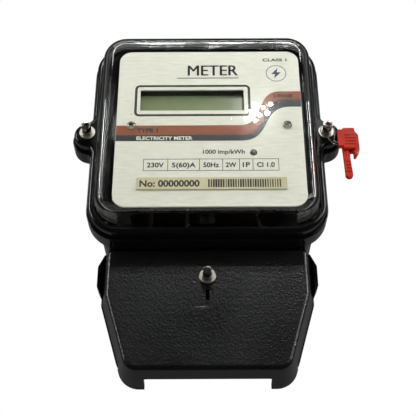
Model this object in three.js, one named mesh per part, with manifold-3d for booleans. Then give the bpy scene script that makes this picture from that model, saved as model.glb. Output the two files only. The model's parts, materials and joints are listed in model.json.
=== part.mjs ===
// A single-phase electricity meter for a wall, in millimetres.
// X runs to the viewer's right, Y into the wall and Z up. The origin lies on the wall plane,
// on the centre line, level with the two ear screws of the front cover.
// A distance called "out" is measured from the wall towards the viewer, so y = -out.

import * as THREE from 'three';
import { mergeVertices } from 'three/addons/utils/BufferGeometryUtils.js';
import Module from 'manifold-3d';

const wasm = await Module();
wasm.setup();

// ---- clearances ---------------------------------------------------------------------------------
const touchGap = 0.3; // between two pieces that rest on each other
const shankGap = 0.4; // around a screw shank in a plain hole
const cutOver = 1; // how far a cutting solid runs past the face it opens

// ---- facets on round work -----------------------------------------------------------------------
const cornerSteps = 5;
const earSteps = 8;
const rodSides = 14;
const boreSides = 16;
const edgeSteps = 3;
const leadSides = 8;

// ---- front cover: a clear moulded window held in a black frame ----------------------------------
const dome = {
  halfWidth: 55,
  top: 55.2,
  bottom: -54,
  cornerRadius: 13.5,
  height: 13.5, // from the front of the frame to the front of the window
  draft: 1.4,
  edgeRadius: 6,
  wall: 2.5,
  lipReach: 1.2,
  lipThickness: 2.4,
};
const frame = { border: 3, thickness: 6, edgeRadius: 2.2 };
const ear = { centrePastFrame: 2.4, radius: 7, filletRadius: 5 };

// ---- base: a deep tray with a wide rim, and the plate behind the terminals ----------------------
const base = {
  depth: 27.7,
  rimStep: 1.3, // the rim stands out past the cover frame
  rimDepth: 9.7,
  rimWall: 5.5,
  caseInset: 2.8, // the tray is narrower than the window
  caseCornerRadius: 9,
  caseWall: 2.5,
  backWall: 3,
  shelf: 3,
};
const gasket = { inset: -0.2, width: 1.2, grooveDepth: 1.5 }; // inset from the window's side wall

// ---- terminal chamber ---------------------------------------------------------------------------
const chamber = {
  bendBelow: 23.3, // where the sides start to run in, below the case
  taper: 0.2976, // sideways run of the sides for each millimetre down
  plateCornerRadius: 8,
};
const terminalCover = {
  topGap: 1.2,
  length: 64.5,
  front: 19,
  wall: 2.2,
  faceWall: 2.5,
  sideDraft: 3.4,
  edgeRun: 2.4, // how far the rounded front edge runs in across the face
  edgeDepth: 2.6,
  cornerRadius: 10.5,
  topCornerRadius: 1.2,
  footClear: 0.5, // the two feet stop short of the wall
  notchHalfWidth: 29.7,
  notchDepth: 9.8,
  slotWidth: 1.9,
  slotLength: 5.5,
  slotBelowScrew: 9.6,
  screwBelow: 15, // sealing screw below the case
  plateShort: 6.8, // the base plate ends this far above the bottom of the cover
};
const sideTab = {
  out: 8,
  top: 2.3,
  length: 21.6,
  reach: 2.1,
  root: 4, // how far the tab runs into the case
  lowerBevel: 4.6,
  upperBevel: 6.4,
};
const wallFixing = { halfSpacing: 26, belowBlock: 8, radius: 2.6, padRadius: 5, padRise: 0.5 };

const block = { halfWidth: 39.5, front: 15.9, length: 41.6, topGap: 0.3, floor: 2.2 };
const terminal = {
  pitch: 19.5,
  width: 9.5,
  length: 31.5,
  boreRadius: 3.2,
  boreLength: 27,
  boreTowardsWall: 0.5, // the bore runs nearer the wall than the middle of the bar
  tongueThickness: 3,
  tongueEnd: 8, // tongue above the case floor
  tongueRoot: 5, // where the tongue starts, above the entry
};
const clampScrew = { radius: 2.3, length: 4.5, fromEntry: 7.5, spacing: 12, slotWidth: 0.9, slotDepth: 1 };
const crossRecess = { length: 2.4, width: 0.6, depth: 0.8 }; // in the small pan-head screws
const shunt = { thickness: 2.2, height: 9, neckHeight: 4.5, neckLength: 9 };

// ---- sealing screws, all three alike ------------------------------------------------------------
const sealScrew = {
  headRadius: 2.4,
  headHeight: 6,
  shankRadius: 1.75,
  shankLength: 14.6,
  crossHoleRadius: 0.75,
  crossHoleBelowTop: 2,
  recessWidth: 0.9,
  recessLength: 3,
  recessDepth: 1.2,
};
const washer = { radius: 4, thickness: 0.8 };
const insert = { radius: 2.8, length: 8 };

// ---- nameplate, display and circuit board -------------------------------------------------------
const plate = {
  width: 92.6,
  height: 92.9,
  cornerRadius: 6.5,
  thickness: 0.8,
  centreX: 1.3,
  centreZ: -1.3,
  behindWindow: 3, // from the inside of the window's front
};
const carrier = { inset: 1.5, thickness: 2, holeGap: 0.5 };
const plateScrew = {
  halfSpacing: 38.7,
  z: -1.9,
  headRadius: 2.4,
  headHeight: 1.6,
  shankRadius: 1.25,
  length: 9,
};
const display = {
  x: -7.4,
  z: 13.7,
  width: 52.3,
  height: 12.9,
  glassMargin: 2.2,
  glassThickness: 2.8,
  frameWall: 2,
  stripThickness: 1.6,
};
const led = {
  x: 22.7,
  z: -18.2,
  radius: 1.5,
  proud: 0.6,
  bodyLength: 6,
  flangeRadius: 1.9,
  flangeHeight: 0.8,
  legWidth: 0.6,
  legSpread: 1.1,
};
const label = { x: 2.2, z: -35.9, width: 71.9, height: 6.7, thickness: 0.2 };
const board = {
  halfWidth: 40,
  halfHeight: 42,
  thickness: 1.6,
  behindCarrier: 7.2,
  screwInset: 4.5, // board screws from the board's edges
  postGap: 0.8, // around the two posts that pass through the board
};
const boardScrew = { headRadius: 2.4, headHeight: 1.4, shankRadius: 1.25, length: 9 };
const post = { radius: 3.2, bossRadius: 3, holeGap: 0.3, holeDepth: 10 };

// ---- hanger on the back -------------------------------------------------------------------------
const hanger = {
  halfWidth: 9,
  bottom: 10,
  top: 50,
  thickness: 1.2,
  recessDepth: 3,
  padWall: 3,
  screwZ: 26,
  travel: 12,
  holeBelowTop: 6,
  holeRadius: 2.6,
  headRadius: 2.8,
  headHeight: 1,
  shankRadius: 1.4,
  screwLength: 4.2,
};

// ---- twist seal on the right ear screw ----------------------------------------------------------
const seal = {
  pastEar: 5, // from the ear screw's centre line to the lug that holds the wire
  lugReach: 2.5,
  lugInset: 1.25, // the lug is shorter than the body at each end
  bodyWidth: 6.3,
  cheekReach: 1.7,
  cheekInset: 0.8,
  cheekBelow: 3.5,
  front: 3.5, // past the front of the cover frame
  depth: 6,
  lugDepth: 3,
  top: 0.5,
  bottom: -12,
  rotorOffset: -1.2, // from the middle of the body
  rotorRadius: 1.5,
  rotorBelowTop: 3,
  flagWidth: 4.3,
  flagThickness: 2.4,
  flagEnd: -28,
};
const sealWire = { radius: 0.35, steps: 32, aroundHead: 0.7 };

// ---- leads and the larger parts on the board ----------------------------------------------------
const lead = { radius: 0.9, steps: 12, straight: 3, boardZ: -36, boardX: [-26, -10, 20] };
const chip = {
  x: 0,
  z: -16,
  halfWidth: 6.4,
  halfHeight: 3.7,
  standOff: 0.2,
  thickness: 2.2,
  pinsEachSide: 5,
  pinPitch: 2.4,
  pinWidth: 0.8,
  pinReach: 5.1,
  pinThickness: 0.5,
};
const dropper = { x: -18, z: 24, halfWidth: 9, halfHeight: 4.5, depth: 15 };
const reservoir = { x: 8, z: -22, radius: 5, chamfer: 0.4, length: 14 };
const varistor = { x: -22, z: -14, radius: 5, thickness: 4, centreOff: 7, legHalf: 0.4, legSpread: 3 };
const crystal = { x: -18, z: -18, halfWidth: 5, halfHeight: 2.3, cornerRadius: 2.2, height: 3.4 };

// ---- places worked out from the sizes above -----------------------------------------------------
const frameBack = base.depth + touchGap;
const frameFront = frameBack + frame.thickness;
const domeFront = frameFront + dome.height;
const earX = dome.halfWidth + frame.border + ear.centrePastFrame;
const rimBottom = dome.bottom - frame.border - base.rimStep;
const caseHalfWidth = dome.halfWidth - base.caseInset;
const caseTop = dome.top - base.caseInset;
const rimBack = base.depth - base.rimDepth;
const cavityBottom = rimBottom + base.rimWall;
const plateFront = domeFront - dome.wall - plate.behindWindow;
const plateBack = plateFront - plate.thickness;
const carrierFront = plateBack - touchGap;
const carrierBack = carrierFront - carrier.thickness;
const boardFront = carrierBack - board.behindCarrier;
const boardBack = boardFront - board.thickness;
const blockTop = rimBottom - block.topGap;
const blockBottom = rimBottom - block.length;
const blockBack = base.backWall + touchGap;
const entryZ = blockBottom + block.floor + touchGap;
const boreOut = blockBack + terminal.width / 2 - terminal.boreTowardsWall;
const terminalFront = blockBack + terminal.width;
const tongueTop = cavityBottom + terminal.tongueEnd;
const clampTip = boreOut + terminal.boreRadius + touchGap;
const coverTop = rimBottom - terminalCover.topGap;
const terminalScrewZ = rimBottom - terminalCover.screwBelow;
const plateBottom = rimBottom - terminalCover.length + terminalCover.plateShort;
const sealLeft = earX + seal.pastEar;
const sealBodyLeft = sealLeft + seal.lugReach;
const sealBodyRight = sealBodyLeft + seal.bodyWidth;
const sealTip = sealBodyRight + seal.cheekReach;
const sealFront = frameFront + seal.front;
const sealBack = sealFront - seal.depth;
const rotorX = (sealBodyLeft + sealBodyRight) / 2 + seal.rotorOffset;
const rotorOut = (sealFront + sealBack) / 2;
const rotorTop = seal.top - seal.rotorBelowTop;

const materials = {
  blackGloss: paint('#0b0c0d', 0.18, 0),
  blackGrain: paint('#232526', 0.5, 0),
  clear: paint('#d7dde0', 0.05, 0),
  nickel: paint('#c9c5bb', 0.25, 1),
  zinc: paint('#b9bdc0', 0.35, 1),
  brass: paint('#c59b4a', 0.3, 1),
  copper: paint('#b06a3c', 0.35, 1),
  rubber: paint('#17181a', 0.8, 0),
  phenolic: paint('#1a1b1d', 0.55, 0),
  plateCream: paint('#dcdcd0', 0.4, 0),
  labelBuff: paint('#c8c0a0', 0.5, 0),
  greyPlastic: paint('#3a3c3e', 0.5, 0),
  whitePlastic: paint('#e2e2dc', 0.45, 0),
  lcd: paint('#868f70', 0.15, 0),
  boardGreen: paint('#1f5a34', 0.45, 0),
  chip: paint('#141416', 0.5, 0),
  capYellow: paint('#d9b32c', 0.4, 0),
  capSleeve: paint('#1c2430', 0.35, 0),
  varistorBlue: paint('#2d5b9a', 0.4, 0),
  silicone: paint('#c4c0b6', 0.6, 0),
  ledRed: paint('#b3352b', 0.1, 0),
  leadRed: paint('#a3231d', 0.5, 0),
  leadBlack: paint('#121212', 0.5, 0),
  leadWhite: paint('#d6d6d0', 0.5, 0),
  sealRed: paint('#c81e0a', 0.2, 0),
  steelWire: paint('#bfc2c4', 0.3, 1),
};

function paint(color, roughness, metalness) {
  return new THREE.MeshStandardMaterial({ color, roughness, metalness });
}

// ---- outlines, as points (x, z) that run anticlockwise seen from the front ----------------------

function arcPoints(centreX, centreZ, radius, fromAngle, toAngle, steps) {
  const clockwise = toAngle < fromAngle;
  const curve = new THREE.EllipseCurve(centreX, centreZ, radius, radius, fromAngle, toAngle, clockwise);
  return curve.getPoints(steps);
}

function mirrored(halfOutline) {
  const otherHalf = halfOutline.map((point) => new THREE.Vector2(-point.x, point.y)).reverse();
  return [...halfOutline, ...otherHalf];
}

// The right half of a rounded rectangle, with its sides pulled in by inset on all four edges.
function roundedOutline(size, inset = 0) {
  const radius = Math.max(size.cornerRadius - inset, 0.2);
  const x = size.halfWidth - inset - radius;
  return mirrored([
    ...arcPoints(x, size.bottom + inset + radius, radius, -Math.PI / 2, 0, cornerSteps),
    ...arcPoints(x, size.top - inset - radius, radius, 0, Math.PI / 2, cornerSteps),
  ]);
}

// A rounded rectangle with a round ear on each side, blended in by a hollow fillet.
function earedOutline(size, inset = 0) {
  const radius = size.cornerRadius - inset;
  const sideX = size.halfWidth - inset;
  const earRadius = ear.radius - inset;
  const filletRadius = ear.filletRadius + inset;
  const filletX = sideX + filletRadius;
  const reach = filletX - earX;
  const filletZ = Math.sqrt((earRadius + filletRadius) ** 2 - reach ** 2);
  const meet = Math.atan2(filletZ, reach);
  const x = sideX - radius;
  const turn = Math.PI - meet;
  return mirrored([
    ...arcPoints(x, size.bottom + inset + radius, radius, -Math.PI / 2, 0, cornerSteps),
    ...arcPoints(filletX, -filletZ, filletRadius, Math.PI, turn, earSteps / 2),
    ...arcPoints(earX, 0, earRadius, -meet, meet, earSteps).slice(1, -1),
    ...arcPoints(filletX, filletZ, filletRadius, 2 * Math.PI - turn, Math.PI, earSteps / 2),
    ...arcPoints(x, size.top - inset - radius, radius, 0, Math.PI / 2, cornerSteps),
  ]);
}

// An outline through corners [x, z, radius], each rounded by an arc.
function filletedPoints(corners, closed) {
  const points = [];
  corners.forEach(([x, z, radius], index) => {
    const corner = new THREE.Vector2(x, z);
    const isEnd = !closed && (index === 0 || index === corners.length - 1);
    if (isEnd) {
      points.push(corner);
      return;
    }
    const before = corners.at(index - 1);
    const after = corners[(index + 1) % corners.length];
    const toBefore = new THREE.Vector2(before[0] - x, before[1] - z).normalize();
    const toAfter = new THREE.Vector2(after[0] - x, after[1] - z).normalize();
    const halfAngle = Math.acos(toBefore.dot(toAfter)) / 2;
    const start = corner.clone().addScaledVector(toBefore, radius / Math.tan(halfAngle));
    const end = corner.clone().addScaledVector(toAfter, radius / Math.tan(halfAngle));
    const inwards = toBefore.clone().add(toAfter).normalize();
    const centre = corner.clone().addScaledVector(inwards, radius / Math.sin(halfAngle));
    const fromAngle = start.clone().sub(centre).angle();
    const sweep = Math.PI - 2 * halfAngle;
    const turnsLeft = toBefore.cross(toAfter) < 0 ? 1 : -1;
    const toAngle = fromAngle + turnsLeft * sweep;
    points.push(...arcPoints(centre.x, centre.y, radius, fromAngle, toAngle, cornerSteps));
    points[points.length - 1].copy(end);
  });
  return points;
}

// The terminal chamber seen from the front: straight sides, then sides that run in.
function chamberOutline(inset, top, bottom, bottomRadius) {
  const lean = Math.atan(chamber.taper);
  const bendZ = rimBottom - chamber.bendBelow - inset * Math.tan(lean / 2);
  const sideX = caseHalfWidth - inset;
  const lowZ = bottom + inset;
  const lowX = sideX - chamber.taper * (bendZ - lowZ);
  const half = filletedPoints([
    [0, lowZ, 0],
    [lowX, lowZ, Math.max(bottomRadius - inset, 1)],
    [sideX, bendZ, 6],
    [sideX, top, terminalCover.topCornerRadius],
    [0, top, 0],
  ], false).slice(1, -1);
  return mirrored(half);
}

// ---- solids -------------------------------------------------------------------------------------

// A solid through a row of outlines with equal numbers of points, each at its own distance out.
function loft(sections) {
  const count = sections[0].outline.length;
  const positions = [];
  const index = [];
  for (const { out, outline } of sections) {
    for (const point of outline) {
      positions.push(point.x, -out, point.y);
    }
  }
  for (let level = 0; level < sections.length - 1; level += 1) {
    for (let step = 0; step < count; step += 1) {
      const here = level * count + step;
      const next = level * count + ((step + 1) % count);
      index.push(here, next, here + count, next, next + count, here + count);
    }
  }
  const last = (sections.length - 1) * count;
  for (const [a, b, c] of THREE.ShapeUtils.triangulateShape(sections[0].outline, [])) {
    index.push(c, b, a);
  }
  for (const [a, b, c] of THREE.ShapeUtils.triangulateShape(sections.at(-1).outline, [])) {
    index.push(last + a, last + b, last + c);
  }
  const geometry = new THREE.BufferGeometry();
  geometry.setAttribute('position', new THREE.Float32BufferAttribute(positions, 3));
  geometry.setIndex(index);
  return solid(geometry);
}

function solid(source) {
  const geometry = source.clone();
  geometry.deleteAttribute('normal');
  geometry.deleteAttribute('uv');
  const merged = mergeVertices(geometry, 1e-4);
  return new wasm.Manifold(new wasm.Mesh({
    numProp: 3,
    vertProperties: new Float32Array(merged.attributes.position.array),
    triVerts: new Uint32Array(merged.index.array),
  }));
}

function slab(outline, fromOut, toOut) {
  return loft([{ out: fromOut, outline }, { out: toOut, outline }]);
}

// A box between two x, two distances out and two z.
function cuboid(left, right, fromOut, toOut, bottom, top) {
  const geometry = new THREE.BoxGeometry(right - left, toOut - fromOut, top - bottom);
  geometry.translate((left + right) / 2, -(fromOut + toOut) / 2, (bottom + top) / 2);
  return solid(geometry);
}

// A round rod that points out of the wall.
function rodOut(x, z, radius, fromOut, toOut, sides = rodSides) {
  const geometry = new THREE.CylinderGeometry(radius, radius, toOut - fromOut, sides);
  geometry.translate(x, -(fromOut + toOut) / 2, z);
  return solid(geometry);
}

function rodUp(x, out, radius, bottom, top, sides = boreSides) {
  const geometry = new THREE.CylinderGeometry(radius, radius, top - bottom, sides);
  geometry.rotateX(Math.PI / 2);
  geometry.translate(x, -out, (bottom + top) / 2);
  return solid(geometry);
}

// A solid of revolution about a line out of the wall, from points [radius, out].
function turned(profile, x, z, sides = rodSides) {
  const points = profile.map(([radius, out]) => new THREE.Vector2(radius, -out));
  points.reverse();
  const geometry = new THREE.LatheGeometry(points, sides);
  geometry.translate(x, 0, z);
  return solid(geometry);
}

// A round tube along a smooth curve through points [x, out, z].
function tube(route, radius, steps) {
  const points = route.map(([x, out, z]) => new THREE.Vector3(x, -out, z));
  const path = new THREE.CatmullRomCurve3(points, false, 'centripetal');
  const circle = new THREE.EllipseCurve(0, 0, radius, radius).getPoints(leadSides);
  const section = new THREE.Shape(circle.slice(0, -1));
  const geometry = new THREE.ExtrudeGeometry(section, { steps, extrudePath: path, curveSegments: 1 });
  return solid(geometry);
}

function fuse(parts) {
  return parts.reduce((whole, part) => whole.add(part));
}

function cut(body, cutters) {
  return cutters.reduce((rest, cutter) => rest.subtract(cutter), body);
}

const meter = new THREE.Group();

function addPiece(name, body, material, place = { x: 0, z: 0 }) {
  const { vertProperties, triVerts } = body.getMesh();
  const geometry = new THREE.BufferGeometry();
  geometry.setAttribute('position', new THREE.BufferAttribute(new Float32Array(vertProperties), 3));
  geometry.setIndex(new THREE.BufferAttribute(new Uint32Array(triVerts), 1));
  geometry.computeVertexNormals();
  const piece = new THREE.Mesh(geometry, material);
  piece.name = name;
  piece.position.set(place.x, 0, place.z);
  meter.add(piece);
}

// ---- front cover --------------------------------------------------------------------------------

const frameSize = {
  halfWidth: dome.halfWidth + frame.border,
  top: dome.top + frame.border,
  bottom: dome.bottom - frame.border,
  cornerRadius: dome.cornerRadius + frame.border,
};

// Sections of a rounded shell: straight wall with draft, then a quarter round to the flat front.
function domeSections(wall, backOut) {
  const edgeRadius = dome.edgeRadius - wall;
  const edgeOut = domeFront - dome.edgeRadius;
  const sections = [
    { out: backOut, outline: roundedOutline(dome, wall) },
    { out: frameFront, outline: roundedOutline(dome, wall) },
  ];
  for (let step = 0; step <= edgeSteps; step += 1) {
    const angle = (step / edgeSteps) * (Math.PI / 2);
    const inset = dome.draft + wall + edgeRadius * (1 - Math.cos(angle));
    const out = edgeOut + edgeRadius * Math.sin(angle);
    sections.push({ out, outline: roundedOutline(dome, inset) });
  }
  return sections;
}

function makeWindow() {
  const lipBack = frameBack + touchGap;
  const lip = slab(roundedOutline(dome, -dome.lipReach), lipBack, lipBack + dome.lipThickness);
  const shell = loft(domeSections(0, lipBack)).add(lip);
  return cut(shell, [loft(domeSections(dome.wall, lipBack - cutOver))]);
}

function makeCoverFrame() {
  const edge = frame.edgeRadius;
  const sections = [{ out: frameBack, outline: earedOutline(frameSize) }];
  for (let step = 0; step <= edgeSteps; step += 1) {
    const angle = (step / edgeSteps) * (Math.PI / 2);
    const inset = edge * (1 - Math.cos(angle));
    const out = frameFront - edge + edge * Math.sin(angle);
    sections.push({ out, outline: earedOutline(frameSize, inset) });
  }
  const rebateFront = frameBack + touchGap + dome.lipThickness + touchGap;
  const screwHole = sealScrew.shankRadius + shankGap;
  return cut(loft(sections), [
    slab(roundedOutline(dome, -touchGap), frameBack - cutOver, frameFront + cutOver),
    slab(roundedOutline(dome, -dome.lipReach - touchGap), frameBack - cutOver, rebateFront),
    rodOut(earX, 0, screwHole, frameBack - cutOver, frameFront + cutOver),
    rodOut(-earX, 0, screwHole, frameBack - cutOver, frameFront + cutOver),
  ]);
}

function gasketRing(extra, fromOut, toOut) {
  const reach = gasket.width / 2 + extra;
  const outside = slab(roundedOutline(dome, gasket.inset - reach), fromOut, toOut);
  const inside = slab(roundedOutline(dome, gasket.inset + reach), fromOut - cutOver, toOut + cutOver);
  return cut(outside, [inside]);
}

function makeGasket() {
  return gasketRing(0, base.depth - gasket.grooveDepth + touchGap, base.depth + touchGap);
}

// ---- base ---------------------------------------------------------------------------------------

const rimSize = {
  halfWidth: frameSize.halfWidth + base.rimStep,
  top: frameSize.top + base.rimStep,
  bottom: rimBottom,
  cornerRadius: frameSize.cornerRadius + base.rimStep,
};
const caseSize = {
  halfWidth: caseHalfWidth,
  top: caseTop,
  bottom: rimBottom,
  cornerRadius: base.caseCornerRadius,
};
const caseCavity = {
  halfWidth: caseHalfWidth - base.caseWall,
  top: caseTop - base.caseWall,
  bottom: cavityBottom,
  cornerRadius: base.caseCornerRadius - base.caseWall,
};
const rimCavity = {
  halfWidth: rimSize.halfWidth - base.rimWall,
  top: rimSize.top - base.rimWall,
  bottom: cavityBottom,
  cornerRadius: rimSize.cornerRadius - base.rimWall,
};
const terminalXs = [-1.5, -0.5, 0.5, 1.5].map((step) => step * terminal.pitch);
const platePosts = [-1, 1].map((side) => plate.centreX + side * plateScrew.halfSpacing);
const boardCorners = [[-1, 1], [1, 1], [-1, -1], [1, -1]]
  .map(([sideX, sideZ]) => [
    sideX * (board.halfWidth - board.screwInset),
    sideZ * (board.halfHeight - board.screwInset),
  ]);
const recessFront = hanger.recessDepth;
const hangerFront = recessFront - touchGap;
const hangerBack = hangerFront - hanger.thickness;
const hangerHead = hangerBack - touchGap;
const hangerTip = hangerHead + hanger.screwLength;
const fixingZ = blockBottom - wallFixing.belowBlock;
const fixingXs = [-wallFixing.halfSpacing, wallFixing.halfSpacing];

function makeSideTab(side) {
  const innerX = caseHalfWidth - sideTab.root;
  const outerX = caseHalfWidth + sideTab.reach;
  const top = rimBottom + sideTab.top;
  const bottom = top - sideTab.length;
  const corners = [
    [innerX, bottom, 0.3],
    [outerX - sideTab.reach, bottom, 0.3],
    [outerX, bottom + sideTab.lowerBevel, 1],
    [outerX, top - sideTab.upperBevel, 3],
    [outerX - sideTab.reach - 1, top, 0.5],
    [innerX, top, 0.3],
  ];
  const right = filletedPoints(corners, true);
  const left = right.map((point) => new THREE.Vector2(-point.x, point.y)).reverse();
  return slab(side > 0 ? right : left, 0, sideTab.out);
}

function makeBase() {
  const rim = loft([
    { out: rimBack, outline: earedOutline(frameSize, -base.rimStep) },
    { out: base.depth, outline: earedOutline(frameSize, -base.rimStep) },
  ]);
  const tray = slab(roundedOutline(caseSize), 0, rimBack + cutOver);
  const backPlate = slab(
    chamberOutline(0, rimBottom + 4, plateBottom, chamber.plateCornerRadius),
    0,
    base.backWall,
  );
  const chamberRoom = slab(
    chamberOutline(-touchGap, rimBottom, rimBottom - terminalCover.length, terminalCover.cornerRadius),
    base.backWall,
    base.depth + cutOver,
  );
  const tabs = [-1, 1].map((side) => cut(makeSideTab(side), [chamberRoom]));
  const foot = base.backWall - 1;
  const wallPadFront = base.backWall + wallFixing.padRise;
  const posts = platePosts.map((x) => (
    rodOut(x, plateScrew.z, post.radius, foot, carrierBack - touchGap)
  ));
  const bosses = boardCorners.map(([x, z]) => rodOut(x, z, post.bossRadius, foot, boardBack - touchGap));
  const padHalf = hanger.halfWidth + hanger.padWall;
  const padFront = recessFront + hanger.padWall;
  const padBottom = hanger.bottom - hanger.padWall - 2;
  const pad = cuboid(-padHalf, padHalf, foot, padFront, padBottom, caseTop - 1);
  const wallPads = fixingXs.map((x) => (
    rodOut(x, fixingZ, wallFixing.padRadius, foot, wallPadFront, boreSides)
  ));
  const hollow = [
    slab(roundedOutline(caseCavity), base.backWall, base.depth + cutOver),
    slab(roundedOutline(rimCavity), rimBack + base.shelf, base.depth + cutOver),
  ];
  const shell = cut(fuse([rim, tray]), hollow);
  const insertHole = insert.radius + touchGap;
  const insertBack = base.depth - insert.length - touchGap;
  const tongues = terminalXs.map((x) => cuboid(
    x - terminal.width / 2 - touchGap,
    x + terminal.width / 2 + touchGap,
    boreOut - terminal.tongueThickness / 2 - touchGap,
    boreOut + terminal.tongueThickness / 2 + touchGap,
    rimBottom - cutOver,
    cavityBottom + cutOver,
  ));
  const screwHole = plateScrew.shankRadius + post.holeGap;
  const cutters = [
    gasketRing(touchGap, base.depth - gasket.grooveDepth, base.depth + cutOver),
    ...[-earX, earX].map((x) => rodOut(x, 0, insertHole, insertBack, base.depth + cutOver, boreSides)),
    ...tongues,
    ...platePosts.map((x) => (
      rodOut(x, plateScrew.z, screwHole, carrierBack - post.holeDepth, carrierBack)
    )),
    ...boardCorners.map(([x, z]) => rodOut(x, z, screwHole, boardBack - post.holeDepth, boardBack)),
    cuboid(
      -hanger.halfWidth - 1,
      hanger.halfWidth + 1,
      -cutOver,
      recessFront,
      hanger.bottom - 2,
      caseTop + cutOver,
    ),
    rodOut(0, hanger.screwZ, hanger.shankRadius + touchGap, 0, hangerTip + touchGap),
    ...fixingXs.map((x) => (
      rodOut(x, fixingZ, wallFixing.radius, -cutOver, wallPadFront + cutOver, boreSides)
    )),
  ];
  return cut(fuse([shell, backPlate, ...tabs, ...posts, ...bosses, ...wallPads, pad]), cutters);
}

function makeInsert(front) {
  const back = front - insert.length;
  const body = rodOut(0, 0, insert.radius, back, front, boreSides);
  const hole = rodOut(0, 0, sealScrew.shankRadius + touchGap, back - cutOver, front + cutOver);
  return cut(body, [hole]);
}

// ---- sealing screws and washers -----------------------------------------------------------------

// The seat is the face that the washer rests on.
function makeSealScrew(seat) {
  const under = seat + touchGap + washer.thickness + touchGap;
  const top = under + sealScrew.headHeight;
  const tip = under - sealScrew.shankLength;
  const body = turned([
    [0, tip],
    [sealScrew.shankRadius - 0.5, tip],
    [sealScrew.shankRadius, tip + 0.6],
    [sealScrew.shankRadius, under],
    [sealScrew.headRadius, under],
    [sealScrew.headRadius, top - 0.5],
    [sealScrew.headRadius - 0.5, top],
    [0, top],
  ], 0, 0, boreSides);
  const crossHole = new THREE.CylinderGeometry(
    sealScrew.crossHoleRadius,
    sealScrew.crossHoleRadius,
    3 * sealScrew.headRadius,
    8,
  );
  crossHole.rotateZ(Math.PI / 2);
  crossHole.translate(0, -(top - sealScrew.crossHoleBelowTop), 0);
  const half = { wide: sealScrew.recessLength / 2, narrow: sealScrew.recessWidth / 2 };
  const floor = top - sealScrew.recessDepth;
  return cut(body, [
    solid(crossHole),
    cuboid(-half.wide, half.wide, floor, top + cutOver, -half.narrow, half.narrow),
    cuboid(-half.narrow, half.narrow, floor, top + cutOver, -half.wide, half.wide),
  ]);
}

function makeWasher(seat) {
  const back = seat + touchGap;
  const disc = rodOut(0, 0, washer.radius, back, back + washer.thickness, boreSides);
  const hole = rodOut(0, 0, sealScrew.shankRadius + touchGap, seat - cutOver, back + 2 * cutOver);
  return cut(disc, [hole]);
}

// ---- terminals ----------------------------------------------------------------------------------

function makeBlock() {
  const body = cuboid(-block.halfWidth, block.halfWidth, blockBack, block.front, blockBottom, blockTop);
  const halfPocket = terminal.width / 2 + touchGap;
  const tongueBack = boreOut - terminal.tongueThickness / 2 - touchGap;
  const tongueFront = boreOut + terminal.tongueThickness / 2 + touchGap;
  const pocketTop = entryZ + terminal.length + touchGap;
  const cutters = terminalXs.flatMap((x) => [
    cuboid(x - halfPocket, x + halfPocket, 0, terminalFront + touchGap, entryZ - touchGap, pocketTop),
    cuboid(x - halfPocket, x + halfPocket, 0, tongueFront, pocketTop - 1, blockTop + cutOver),
    rodUp(x, boreOut, terminal.boreRadius + touchGap, blockBottom - cutOver, entryZ),
    ...clampZs().map((z) => (
      rodOut(x, z, clampScrew.radius + touchGap, tongueBack, block.front + cutOver)
    )),
  ]);
  const insertHole = insert.radius + touchGap;
  const insertBack = block.front - insert.length - touchGap;
  return cut(body, [
    ...cutters,
    rodOut(0, terminalScrewZ, insertHole, insertBack, block.front + cutOver, boreSides),
    rodOut(0, terminalScrewZ, sealScrew.shankRadius + shankGap, 0, block.front),
  ]);
}

function clampZs() {
  return [0, 1].map((row) => entryZ + clampScrew.fromEntry + row * clampScrew.spacing);
}

function makeTerminal() {
  const half = terminal.width / 2;
  const halfTongue = terminal.tongueThickness / 2;
  const bar = cuboid(-half, half, blockBack, terminalFront, entryZ, entryZ + terminal.length);
  const tongueBottom = entryZ + terminal.tongueRoot;
  const tongue = cuboid(-half, half, boreOut - halfTongue, boreOut + halfTongue, tongueBottom, tongueTop);
  return cut(fuse([bar, tongue]), [
    rodUp(0, boreOut, terminal.boreRadius, entryZ - cutOver, entryZ + terminal.boreLength),
    ...clampZs().map((z) => (
      rodOut(0, z, clampScrew.radius + touchGap, boreOut, terminalFront + cutOver)
    )),
  ]);
}

function makeClampScrew() {
  const front = clampTip + clampScrew.length;
  const body = turned([
    [0, clampTip],
    [clampScrew.radius - 0.6, clampTip],
    [clampScrew.radius, clampTip + 0.6],
    [clampScrew.radius, front],
    [0, front],
  ], 0, 0);
  const reach = clampScrew.radius + cutOver;
  const halfSlot = clampScrew.slotWidth / 2;
  const slotFloor = front - clampScrew.slotDepth;
  return cut(body, [cuboid(-reach, reach, slotFloor, front + cutOver, -halfSlot, halfSlot)]);
}

const tongueFace = boreOut + terminal.tongueThickness / 2 + touchGap;
const barTop = tongueTop;
const barBottom = tongueTop - shunt.height + 1;

// A bar across the tongues of two neighbouring terminals, necked in the middle where it is a shunt.
function makeBridge(neckHeight) {
  const halfLength = (terminal.pitch + terminal.width) / 2;
  const middle = (barTop + barBottom) / 2;
  const barFront = tongueFace + shunt.thickness;
  const bar = cuboid(-halfLength, halfLength, tongueFace, barFront, barBottom, barTop);
  const halfNeck = shunt.neckLength / 2;
  return cut(bar, [-1, 1].map((side) => cuboid(
    -halfNeck,
    halfNeck,
    0,
    base.depth,
    side > 0 ? middle + neckHeight / 2 : barBottom - cutOver,
    side > 0 ? barTop + cutOver : middle - neckHeight / 2,
  )));
}

// ---- terminal cover -----------------------------------------------------------------------------

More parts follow.
